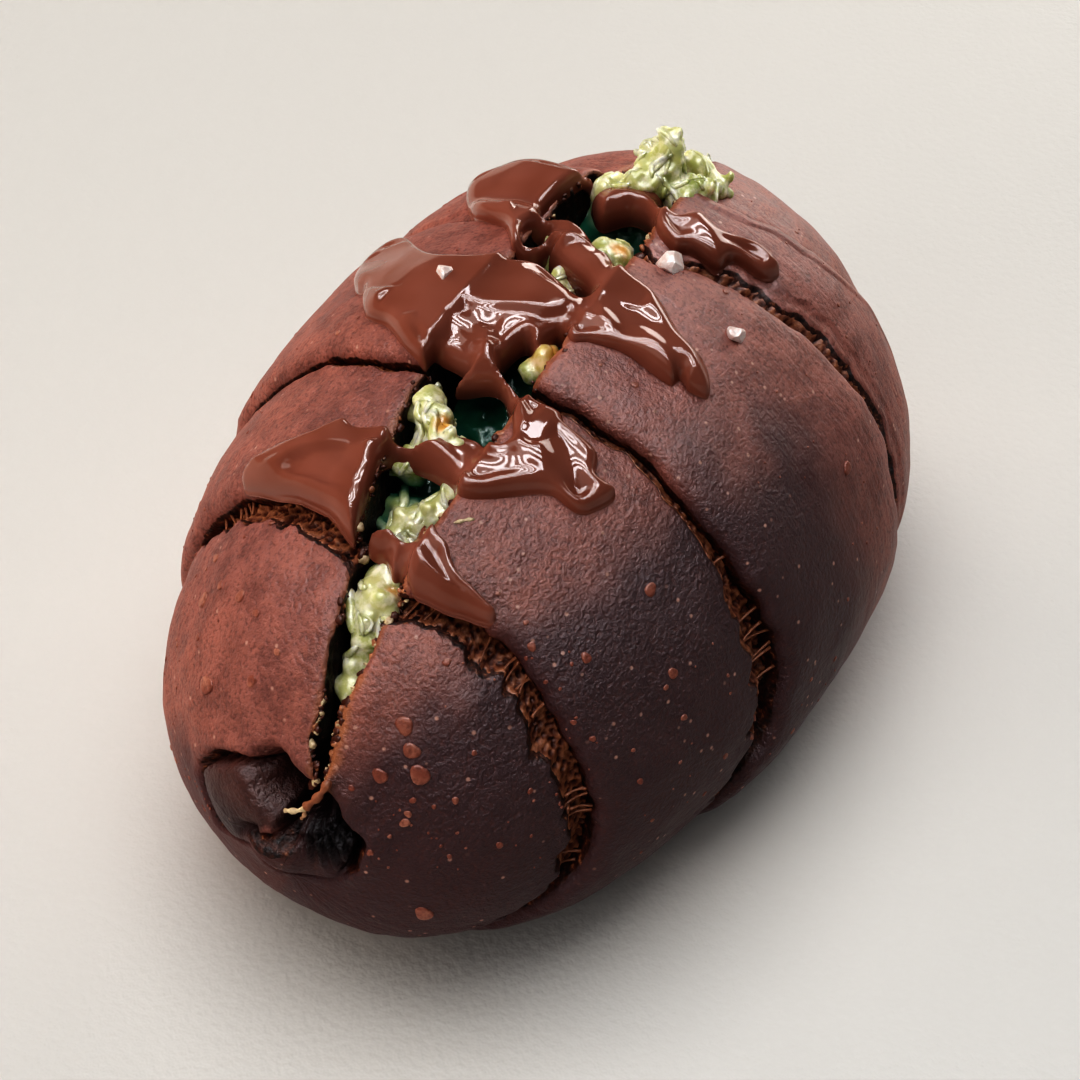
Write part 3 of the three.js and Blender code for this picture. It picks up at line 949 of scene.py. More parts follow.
    def turn_relief(self, x: Array, angle: Array) -> Array:
        """Height of the crust over the plain body: swelling turns, lips and grooves.

        Args:
            x: places along the roll.
            angle: angles round it.

        Returns:
            The height at each place.
        """
        height = np.full_like(x, -self.crust_inset)
        for seam in self.seams:
            d = (x - seam.x(angle)) * seam.upper.value
            width = seam.width(angle)
            climb = np.clip(-d / width, 0.0, 1.0) ** 1.4
            lip = self.lip_rise * (1 - 0.75 * np.exp(-np.abs(d) / 0.5)) * np.exp(-((d / 9) ** 2))
            groove = -self.groove_depth * (1 - climb) - seam.sink * climb
            lower = -seam.sink * np.exp(np.minimum(0.0, d + width) / self.sink_reach)
            height += np.where(d >= 0, lip, np.where(d > -width, groove, lower))
        return height + self.swelling(x, angle)

    def depth_of(self, width: Array | float) -> Array | float:
        """Depth of a torn groove this wide."""
        return self.groove_depth + 0.42 * width

    def unevenness(self, points: Array) -> Array:
        """Soft hollows and swellings that dough has when it is baked."""
        return 0.55 * noise(points, 21, seed=3, octaves=2) + 0.12 * noise(points, 4.5, seed=5, octaves=2)

    def top(self, x: Array, y: Array) -> Array:
        """Level of the crust, as if the split were closed.

        Args:
            x: places along the roll.
            y: places across it.

        Returns:
            The level at each place.
        """
        angle = self.angle_at(x, y)
        body = self.smooth_body(x, angle)
        height = self.turn_relief(x, angle) + self.unevenness(body)
        return body[..., 2] + height / np.maximum(0.4, self.normal(x, angle)[..., 2])

    def split_middle(self, x: Array) -> Array:
        """Y of the split's middle line."""
        return smooth_curve(self.split, x, 1)

    def split_half(self, x: Array) -> Array:
        """Half the split's width at the crust."""
        return np.maximum(0.0, smooth_curve(self.split, x, 2))

    def split_floor(self, x: Array) -> Array:
        """Level of the split's floor."""
        return smooth_curve(self.split, x, 3)


FORM = RollForm()


# ---- the coil end


@dataclass(frozen=True)
class CoilEnd:
    """The opening at the near end, through which the inner turn of dough shows.

    Places are Y and Z of the end as seen along X, and sizes are in millimetres.
    """

    middle: tuple = (1.5, 29.0)
    # direction from the middle in degrees (0 is +Y, 90 up), distance of the outer turn's lip
    opening: tuple = ((-41, 10.6), (-4, 11.6), (11, 10.3), (39, 7.9), (74, 6.7), (115, 7.5), (132, 8.8),
                      (163, 9.4), (177, 10.8), (200, 10.5), (228, 9.5), (262, 5.6), (298, 5.0), (309, 7.2))
    sunk: float = 0.3
    # distance of the crevice inside the lip, its width and its depth
    crevice: tuple = (0.5, 0.42, 2.5)
    # middle, radius and height of the inner turn, and of the torn flap under it
    coil: tuple = (6.3, 29.2, 7.2, 1.7)
    flap: tuple = (0.4, 24.6, 3.0, 1.5)
    # both ends, radius and depth of the black hole between the inner turn and the skin beside it
    hole: tuple = (1.6, 34.3, -2.2, 32.6, 2.2, 9.0)
    hole_below: tuple = (-1.2, 33.0, -0.6, 27.8, 0.9, 5.0)
    # middle and radius of the gathered skin beside the hole, and where its gathers meet
    gathered: tuple = (-6.0, 29.6, 4.6)
    gather_from: tuple = (-1.8, 34.5)

    def pit(self, points: Array, row: tuple) -> Array:
        """Depth of a pit that runs from one place to another.

        Args:
            points: points of the plain body.
            row: both ends, the radius and the depth of the pit.

        Returns:
            The depth at each point, from 0 to 1.
        """
        ay, az, by, bz, radius, _ = row
        y, z = points[..., 1] - ay, points[..., 2] - az
        ey, ez = by - ay, bz - az
        f = np.clip((y * ey + z * ez) / (ey * ey + ez * ez), 0.0, 1.0)
        away = np.hypot(y - f * ey, z - f * ez) + 0.35 * noise(points, 1.8, seed=25, octaves=2)
        return np.exp(-((np.maximum(away, 0.0) / radius) ** 2.6))

    def relief(self, points: Array) -> dict[str, Array]:
        """Depth of the opening, and what its surface is.

        Args:
            points: points of the plain body.

        Returns:
            The height to add, and from 0 to 1 how torn the surface is and how far it is inner dough and
            painted dark, as painted shade in the opening, the gathered skin and the pits.
        """
        y, z = points[..., 1] - self.middle[0], points[..., 2] - self.middle[1]
        toward = np.degrees(np.arctan2(z, y))
        reach = smooth_curve(self.opening, toward, period=360.0)
        reach = reach + 0.4 * noise(points, 2.2, seed=21, octaves=3)
        outside = np.hypot(y, z) - reach
        near = ramp(-44.0, -50.0, points[..., 0])
        low = ramp(196, 215, toward % 360.0) * (1 - ramp(300, 322, toward % 360.0))
        firm = 1.0 - 0.85 * low
        inside = 1 - ramp(-0.9, 0.1, outside)
        inset, wide, deep = self.crevice
        height = -self.sunk * firm * inside + 0.4 * firm * np.exp(-(((outside - 0.9) / 1.4) ** 2))
        height = height - deep * firm * np.exp(-(((outside + inset) / wide) ** 2))
        for cy, cz, radius, rise in (self.coil, self.flap):
            away = ((points[..., 1] - cy) ** 2 + (points[..., 2] - cz) ** 2) / radius**2
            height = height + rise * np.exp(-(away**1.5)) * (1 - ramp(-1.6, 0.0, outside) * firm)
        tear = points[..., 2] - 27.3 + 0.12 * (points[..., 1] - 1.0)
        tear = tear + 0.7 * noise(points, 2.0, seed=27, octaves=2)
        beside = np.exp(-(((points[..., 1] - 1.2) / 3.4) ** 4))
        height = height - 2.2 * beside * np.exp(-((tear / 0.5) ** 2))
        hole, below = self.pit(points, self.hole), self.pit(points, self.hole_below)
        height = height - self.hole[-1] * hole - self.hole_below[-1] * below * (1 - hole)
        gy, gz, radius = self.gathered
        away = ((points[..., 1] - gy) ** 2 + (points[..., 2] - gz) ** 2) / radius**2
        in_skin = np.exp(-(away**2)) * inside
        fy, fz = self.gather_from
        around = np.degrees(np.arctan2(points[..., 2] - fz, points[..., 1] - fy))
        gathers = np.sin(around * 0.62 + 1.6 * noise(points, 3.0, seed=23))
        height = height + in_skin * (0.6 * gathers + 0.1 * noise(points, 0.8, seed=29)) - 0.3 * in_skin
        torn = np.exp(-(((outside + 0.2) / 0.45) ** 2)) * firm
        torn = torn + beside * np.exp(-(((tear + 0.9) / 0.8) ** 2))
        # painted shade: the opening inside the lip, the gathered skin and the pits are painted dark
        dark = np.maximum(0.68 * inside * firm, np.maximum(in_skin, np.maximum(hole, below)))
        return {"height": near * height, "torn": near * np.minimum(torn, 1.0), "inner": near * dark}


COIL_END = CoilEnd()


# ---- crust


@dataclass
class Crust:
    """The bread itself: one closed skin over the turns, down the grooves and into the split."""

    form: RollForm = FORM
    side_rows: int = 142
    wall_rows: int = 40
    near_columns: int = 84
    far_columns: int = 34
    turn_columns: int = 28
    # direction from the roll to the side that is painted darker, as painted shade away from the light
    shade_toward: tuple = (-0.35, -0.85, -0.35)
    # across a seam: distance from the lip in mm plus a share of the groove's width, height in mm
    # plus a share of the groove's depth
    lip_profile: tuple = (
        (3.2, 0, 0.88, 0), (2.2, 0, 0.9, 0), (1.4, 0, 0.86, 0), (0.8, 0, 0.68, 0), (0.35, 0, 0.36, 0),
        (0.08, 0, 0.0, -0.06), (0.0, 0, -0.1, -0.25), (0.22, 0, -0.2, -0.55), (0.36, 0, -0.3, -0.85),
        (0.1, -0.1, -0.35, -1.0), (0, -0.3, -0.25, -1.0), (0, -0.5, -0.1, -0.86),
        (0, -0.7, 0, -0.62), (0, -0.86, 0, -0.32), (0, -0.97, 0.02, -0.08), (-0.25, -1.0, 0.05, 0.0),
        (-0.9, -1.0, 0.04, 0.0), (-2.0, -1.0, 0.0, 0.0))

    def seam_stops(self, seam: Seam, angle: Array) -> tuple[Array, Array]:
        """The columns that cross one seam.

        Args:
            seam: the seam.
            angle: angle round the roll of each row.

        Returns:
            Their X, and the height that each adds over the crust's ground level.
        """
        at, width = seam.x(angle), seam.width(angle)
        deep = self.form.depth_of(width)
        xs, heights = [], []
        for near, share, rise, fall in self.lip_profile:
            d = near + share * width
            xs.append(at + d * seam.upper.value)
            on_lower = -seam.sink * ramp(0.2, -0.9, share + 0 * width)
            heights.append(rise * self.form.lip_rise + fall * deep + on_lower)
        if seam.upper is Toward.FAR_END:
            xs.reverse()
            heights.reverse()
        return np.stack(xs, -1), np.stack(heights, -1)

    def columns(self, angle: Array) -> tuple[Array, Array]:
        """X of every column at each row's angles, and the height a seam's profile gives it.

        Args:
            angle: angles, one for each row and column.

        Returns:
            X, and the profile's height with NaN where no seam sets it.
        """
        half = self.form.half
        blocks, seam_blocks = [], [self.seam_stops(seam, angle) for seam in self.form.seams]
        count = len(self.lip_profile)
        column = 0

        def pick(values: Array) -> Array:
            """Each column's own entry of values worked out at that column's angle."""
            return np.stack([values[:, column + k, k] for k in range(values.shape[-1])], axis=-1)

        def spread(low, high, many: int, ease) -> tuple[Array, Array]:
            """Columns spread between two others.

            Args:
                low: x of the first of these, one number or one for each row and column.
                high: x of the second.
                many: how many columns there are.
                ease: turns even shares of the way into the columns' shares.

            Returns:
                X, and NaN for the profile's height.
            """
            shares = ease(np.arange(1, many + 1) / (many + 1))
            width = angle[:, column : column + many]
            lo = low[:, column : column + many] if isinstance(low, Array) else low
            hi = high[:, column : column + many] if isinstance(high, Array) else high
            x = lo + (hi - lo) * shares + 0 * width
            return x, np.full_like(x, np.nan)

        first = seam_blocks[0][0][..., 0]
        blocks.append((np.full((len(angle), 1), -half), np.full((len(angle), 1), np.nan)))
        column += 1
        blocks.append(spread(-half, first, self.near_columns, lambda f: 1 - np.cos(f * math.pi / 2)))
        column += self.near_columns
        for i, (xs, heights) in enumerate(seam_blocks):
            blocks.append((pick(xs), pick(heights)))
            column += count
            if i + 1 < len(seam_blocks):
                low, high = xs[..., -1], seam_blocks[i + 1][0][..., 0]
                blocks.append(spread(low, high, self.turn_columns, lambda f: f))
                column += self.turn_columns
        last = seam_blocks[-1][0][..., -1]
        blocks.append(spread(last, half, self.far_columns, lambda f: np.sin(f * math.pi / 2)))
        column += self.far_columns
        blocks.append((np.full((len(angle), 1), half), np.full((len(angle), 1), np.nan)))
        return np.concatenate([b[0] for b in blocks], 1), np.concatenate([b[1] for b in blocks], 1)

    def column_count(self) -> int:
        """How many columns the skin has.

        Returns:
            Their number.
        """
        seams = len(self.form.seams)
        ends = 2 + self.near_columns + self.far_columns
        return ends + seams * len(self.lip_profile) + (seams - 1) * self.turn_columns

    def split_edge(self, x: Array, side: int) -> Array:
        """Angle of the split's edge, which is slightly ragged.

        Args:
            x: places along the roll.
            side: 1 for the left edge, -1 for the right one.

        Returns:
            The angle at each place.
        """
        inside = np.clip(x, self.form.split[0][0], self.form.split[-1][0])
        half = self.form.split_half(inside)
        place = np.stack([x, np.full_like(x, 9.0 * side), np.zeros_like(x)], axis=-1)
        ragged = 0.42 * noise(place, 2.4, seed=15, octaves=3) * np.clip(half, 0, 1)
        return self.form.angle_at(inside, self.form.split_middle(inside) + side * (half + ragged))

    def grid(self) -> dict[str, Array]:
        """Every point of the skin with what its material reads.

        Returns:
            Arrays of rows by columns: points, and the values for torn, edge, pull, inner and flow, and one
                for the painted shade on the side away from the light; inner is painted shade in part.
        """
        form = self.form
        rows, count = self.side_rows, self.column_count()
        share = np.linspace(0.0, 1.0, rows)
        side = np.concatenate([np.ones(rows), -np.ones(rows - 1)])[:, None]
        fraction = np.concatenate([share, share[-2::-1]])[:, None]
        x = np.tile(np.linspace(-form.half, form.half, count), (len(side), 1))
        angle = np.zeros_like(x)
        profile = np.full_like(x, np.nan)
        for _ in range(5):
            left, right = self.split_edge(x, 1), self.split_edge(x, -1)
            angle = np.where(side > 0, left + (-90 - left) * fraction, right + (270 - right) * fraction)
            x, profile = self.columns(angle)
        body = form.smooth_body(x, angle)
        normal = form.normal(x, angle)
        ground = form.swelling(x, angle) - form.crust_inset
        height = np.where(np.isnan(profile), form.turn_relief(x, angle), ground + np.nan_to_num(profile))
        height = height + form.unevenness(body)
        coil = COIL_END.relief(body)
        edge_gap = np.abs(body[..., 1] - form.split_middle(body[..., 0])) - form.split_half(body[..., 0])
        by_split = (body[..., 2] > form.waist) * ramp(-0.2, 0.6, form.split_half(body[..., 0]))
        curl = 0.4 * np.exp(-((edge_gap / 3.0) ** 2)) - 0.35 * np.exp(-np.maximum(edge_gap, 0) / 0.35)
        height += by_split * curl
        height += coil["height"]
        points = body + normal * height[..., None]
        groove = self.groove_mask(count)[None, :] * np.ones_like(x)
        torn = np.maximum(groove, coil["torn"])
        by_coil = ramp(-42, -51, body[..., 0]) * (body[..., 1] < form.split_middle(body[..., 0]))
        fray = 0.4 * noise(body, 1.5, seed=17, octaves=2) * (edge_gap > 0.15)
        frayed = np.maximum(0.0, edge_gap) + fray
        edge = by_split * (0.6 + 0.4 * by_coil) * np.exp(-((frayed / (0.42 + 0.45 * by_coil)) ** 2))
        walls = self.walls(points, x)
        points = np.concatenate([points, walls])
        points[..., 2] = np.maximum(points[..., 2], 0.0)
        pad = np.zeros((len(walls), count))
        pull = ramp(-14, -6, x) * (0.35 + 0.65 * ramp(-6, 12, x)) * ramp(-60, 0, angle)
        flow = np.stack([x, np.radians(angle) * 38.0, 0 * x], axis=-1)
        # painted shade: the crust is painted darker on the side that faces away from the light and on the low
        # part of the coil end
        toward_shade = normal @ unit(np.array(self.shade_toward))
        toward_shade = toward_shade + 0.08 * noise(body, 9.0, seed=19, octaves=2)
        shaded_side = np.maximum(
            ramp(0.14, 0.42, toward_shade) * ramp(20.0, 0.0, x),
            0.85 * ramp(-45.0, -53.0, body[..., 0]) * ramp(32.0, 25.0, body[..., 2]))
        return {
            "points": points,
            "torn": np.concatenate([torn, pad + 1.0]),
            "edge": np.concatenate([edge, pad]),
            "pull": np.concatenate([pull, pad]),
            # painted shade: the split's walls are painted partly dark
            "inner": np.concatenate([np.clip(coil["inner"], 0, 1), pad + 0.6]),
            "shaded_side": np.concatenate([shaded_side, pad]),
            "flow": np.concatenate([flow, np.zeros((*pad.shape, 3))]),
        }

    def groove_mask(self, count: int) -> Array:
        """Which columns lie in a torn groove.

        Args:
            count: how many columns the skin has.

        Returns:
            1 at those columns, 0 elsewhere, and less than 1 at the groove's edges.
        """
        mask = np.zeros(count)
        torn = np.array([0, 0, 0, 0, 0, 0.3, 0.8, 1, 1, 1, 1, 1, 1, 1, 0.75, 0.1, 0, 0])
        start = 1 + self.near_columns
        for seam in self.form.seams:
            block = torn[::-1] if seam.upper is Toward.FAR_END else torn
            mask[start : start + len(torn)] = block
            start += len(torn) + self.turn_columns
        return mask

    def walls(self, points: Array, x: Array) -> Array:
        """Rows of points down the split's right wall, over its floor and up its left wall.

        Args:
            points: the skin's points, whose first and last rows are the split's edges.
            x: X of those points before relief.

        Returns:
            The walls' points, from the right edge to the left one.
        """
        form = self.form
        right, left = points[-1], points[0]
        v = np.linspace(0.0, 1.0, self.wall_rows + 2)[1:-1][:, None]
        place_x = (1 - v) * x[-1] + v * x[0]
        # share across (-1 right edge, 1 left edge) and share of the height above the floor
        keys = [0, 0.1, 0.3, 0.42, 0.5, 0.58, 0.7, 0.9, 1]
        across = np.interp(v, keys, [-1, -1.0, -0.8, -0.5, 0, 0.5, 0.8, 1.0, 1])
        rise = np.interp(v, keys, [1, 0.9, 0.5, 0.16, 0, 0.16, 0.5, 0.9, 1])
        rim = (1 - v) * right[..., 2] + v * left[..., 2]
        floor = np.minimum(form.split_floor(place_x), rim)
        base_y = (1 - v) * right[..., 1] + v * left[..., 1]
        half = form.split_half(place_x)
        y = np.where(half > 0.02, base_y + (across - (2 * v - 1)) * half, base_y)
        z = floor + (rim - floor) * rise
        wall = np.stack([place_x, y, np.where(half > 0.02, z, rim)], axis=-1)
        wall[..., 0] = (1 - v) * right[..., 0] + v * left[..., 0]
        pores = 0.7 * ramp(0.05, 0.6, cells(wall, 1.5, seed=31))
        rough = (pores - 0.45 + 0.25 * noise(wall, 3.0, seed=33)) * np.clip(half, 0, 1)
        wall[..., 1] -= np.sign(across) * rough * np.abs(across) * np.minimum(1, 8 * v * (1 - v))
        return wall

    def make(self, finish: Material) -> Piece:
        """Builds and dresses the bread.

        Args:
            finish: its material.

        Returns:
            The new piece.
        """
        grid = self.grid()
        points = grid["points"]
        rings, columns = points.shape[:2]
        by_column = points.transpose(1, 0, 2).reshape(-1, 3)
        faces = ring_faces(columns, rings)
        piece = mesh_object("bread_crust", by_column, faces)
        for name in ("torn", "edge", "pull", "inner", "shaded_side"):
            add_values(piece, name, grid[name].T)
        layer = piece.data.attributes.new("flow", "FLOAT_VECTOR", "POINT")
        layer.data.foreach_set("vector", grid["flow"].transpose(1, 0, 2).astype(np.float32).ravel())
        weld(piece)
        piece.data.materials.append(finish)
        return piece


@dataclass
class Blisters:
    """Bubbles that rose in the skin as it baked: low round domes scattered over the crust."""

    form: RollForm = FORM
    # x, y, z and radius of the large ones at the coil end and on the turns beside it
    large: tuple = (
        (-40.8, 19.5, 40.1, 0.95), (-41.6, 12.9, 44.8, 0.75), (-48.5, 13.8, 36.8, 1.15),
        (-48.5, 7.3, 41.2, 0.7), (-40.2, 16.8, 43.2, 0.5), (-46.4, -10.4, 41.9, 1.0),
        (-47.5, -11.8, 39.8, 0.9), (-48.4, -13.2, 37.6, 1.1), (-50.5, -9.6, 37.5, 0.85),
        (-52.6, -15.1, 19.8, 1.1), (-51.5, -12.9, 32.7, 0.55), (-44.5, 18.2, 38.4, 0.5),
        (-43.0, 9.6, 45.2, 0.5), (-20.8, -26, 46.1, 0.75), (11.5, -34.6, 40.3, 0.8),
        (-30.2, -22, 42.5, 0.6), (-24, -30, 38, 0.65), (-36.5, 20.5, 42.5, 0.6),
        (-45.5, 4.8, 44.0, 0.45), (-33.5, -18, 45.5, 0.5))
    count: int = 330

    def dome(self, at: Vector, out: Vector, radius: float, draw: np.random.Generator) -> Solid:
        """One low dome that stands on the crust.

        Args:
            at: where its middle lies, in millimetres.
            out: the crust's direction there.
            radius: its radius in millimetres.
            draw: the random numbers it is shaped by.

        Returns:
            Its points and faces.
        """
        sides = 14 if radius > 0.4 else 8
        turns = np.linspace(0, 2 * math.pi, sides, endpoint=False)
        oval = 0.12 * np.sin(2 * turns + draw.uniform(0, 6))
        wobble = 1 + oval + 0.08 * np.sin(3 * turns + draw.uniform(0, 6))
        along = np.array(out.orthogonal().normalized())
        across = np.cross(np.array(out), along)
        flat = wobble[:, None] * (np.cos(turns)[:, None] * along + np.sin(turns)[:, None] * across)
        rise = 0.07 + 0.13 * radius
        # share of the radius and of the height of each ring, from under the crust to the top
        steps = ((0.8, -0.3), (1.0, -0.02), (0.93, 0.6 * rise), (0.7, 0.93 * rise), (0.35, rise))
        rings = [np.array(at) + flat * (radius * share) + np.array(out) * level for share, level in steps]
        return np.concatenate(rings), capped_rings(len(rings), sides)

    def make(self, crust: Piece, finish: Material) -> Piece:
        """Builds and dresses all blisters as one piece.

        Args:
            crust: the bread that they stand on.
            finish: their material.

        Returns:
            The new piece.
        """
        draw = np.random.default_rng(431)
        tree = BVHTree.FromObject(crust, bpy.context.evaluated_depsgraph_get())
        spots = [(np.array(row[:3]), row[3]) for row in self.large]
        while len(spots) < len(self.large) + self.count:
            x = np.array([-55.0 + 95.0 * draw.random() ** 1.6])
            angle = np.array([draw.uniform(-10.0, 190.0)])
            place = self.form.smooth_body(x, angle)
            if noise(place, 12.0, seed=43)[0] < draw.uniform(-0.5, 0.4):
                continue
            off_split = abs(place[0, 1] - float(self.form.split_middle(x)[0]))
            if off_split < float(self.form.split_half(x)[0]) + 1.0:
                continue
            spots.append((place[0], 0.12 + 0.34 * draw.random() ** 3))
        parts = []
        for place, radius in spots:
            found, out, _, _ = tree.find_nearest(Vector((place - BOX_CENTRE) * MM))
            off_coil = np.hypot(place[1] - COIL_END.middle[0], place[2] - COIL_END.middle[1])
            if off_coil < 11.0 and place[0] < -50.0:
                continue
            parts.append(self.dome(Vector(np.array(found) / MM + BOX_CENTRE), out, radius, draw))
        piece = mesh_object("crust_blisters", *joined(parts))
        piece.data.materials.append(finish)
        return piece


# ---- torn crumb in the seams


@dataclass
class SeamCrumb:
    """The open crumb that shows in each groove, with threads of dough still stretched across it."""

    form: RollForm = FORM
    steps: int = 760
    across: int = 16
    cell_mm: float = 0.72
    threads: int = 46

    def strip(self, seam: Seam, seed: int) -> tuple[Array, list, Array]:
        """The crumb along one seam.

        Args:
            seam: the seam it lies in.
            seed: picks its pattern.

        Returns:
            Points, faces, and each point's height in its cells from 0 to 1.
        """
        ring = Crust(self.form)
        middle = smooth_curve(seam.ring, np.array([90.0]), period=360.0)
        start = float(ring.split_edge(middle, -1)[0]) + 0.3
        end = float(ring.split_edge(middle, 1)[0]) + 360.0 - 0.3
        angle = np.linspace(start, end, self.steps)[:, None]
        share = np.linspace(0.0, 1.0, self.across)[None, :]
        width = seam.width(angle)
        deep = self.form.depth_of(width)
        d = 0.3 - share * (width + 0.2)
        x = seam.x(angle) + d * seam.upper.value
        keys = [0, 0.12, 0.4, 0.65, 0.85, 1.0]
        sunk = np.interp(share, keys, [-0.75, -0.95, -0.85, -0.52, -0.2, -0.04])
        ground = -self.form.crust_inset - seam.sink * ramp(0.2, 0.9, share)
        angles = angle + 0 * share
        body = self.form.smooth_body(x, angles)
        normal = self.form.normal(x, angles)
        coarse = cells(body, self.cell_mm, seed=seed)
        fine = cells(body, 0.45 * self.cell_mm, seed=seed + 1)
        comb = 0.75 * ramp(0.1, 0.75, coarse) + 0.25 * ramp(0.1, 0.7, fine)
        amount = 0.25 + 0.13 * width
        height = ground + deep * sunk + amount * (comb - 0.35) + self.form.unevenness(body)
        top = body + normal * height[..., None]
        beneath = [int(share_across * (self.across - 1)) for share_across in (0.75, 0.25)]
        under = [top[:, k] - 0.9 * normal[:, k] for k in beneath]
        edges = top.copy()
        edges[:, 0] -= 0.5 * normal[:, 0]
        edges[:, -1] -= 0.35 * normal[:, -1]
        rings = np.concatenate([edges, np.stack(under, axis=1)], axis=1)
        rings[..., 2] = np.maximum(rings[..., 2], 0.02)
        count = rings.shape[1]
        values = np.concatenate([comb, np.zeros((self.steps, 2))], axis=1)
        return rings.reshape(-1, 3), capped_rings(self.steps, count), values.ravel()

    def webs(self, seam: Seam, seed: int) -> list[Solid]:
        """Fine threads of dough from a groove's floor to its lip.

        Args:
            seam: the seam whose groove it is.
            seed: picks where they are.

        Returns:
            Points and faces of each.
        """
        draw = np.random.default_rng(seed)
        parts = []
        for _ in range(self.threads):
            angle = draw.uniform(100.0, 430.0)
            if 230.0 < angle < 310.0:
                continue
            lean = angle + draw.uniform(-2.2, 2.2)
            width = float(seam.width(np.array([angle]))[0])
            deep = self.form.depth_of(width)
            if width < 1.6:
                continue
            f = np.linspace(0.0, 1.0, 6)
            d = -width * draw.uniform(0.6, 0.95) * (1 - f) + 0.15 * f
            angles = angle + (lean - angle) * f
            sunk = deep * (0.55 * (1 - f) + 0.42 * f)
            level = -self.form.crust_inset - sunk - 0.35 * np.sin(math.pi * f)
            x = seam.x(angles) + d * seam.upper.value
            body = self.form.smooth_body(x, angles) + self.form.normal(x, angles) * level[:, None]
            parts.append(tube(body, 0.13 + 0.1 * np.abs(2 * f - 1), 5))
        return parts

    def make(self, finish: Material) -> Piece:
        """Builds and dresses the crumb of all seams as one piece.

        Args:
            finish: its material.

        Returns:
            The new piece.
        """
        parts, values = [], []
        for i, seam in enumerate(self.form.seams):
            points, faces, height = self.strip(seam, 60 + 5 * i)
            parts.append((points, faces))
            values.append(height)
            for web in self.webs(seam, 300 + i):
                parts.append(web)
                values.append(np.full(len(web[0]), 0.8))
        piece = mesh_object("torn_crumb", *joined(parts))
        add_values(piece, "height", np.concatenate(values))
        piece.data.materials.append(finish)
        return piece


# ---- filling


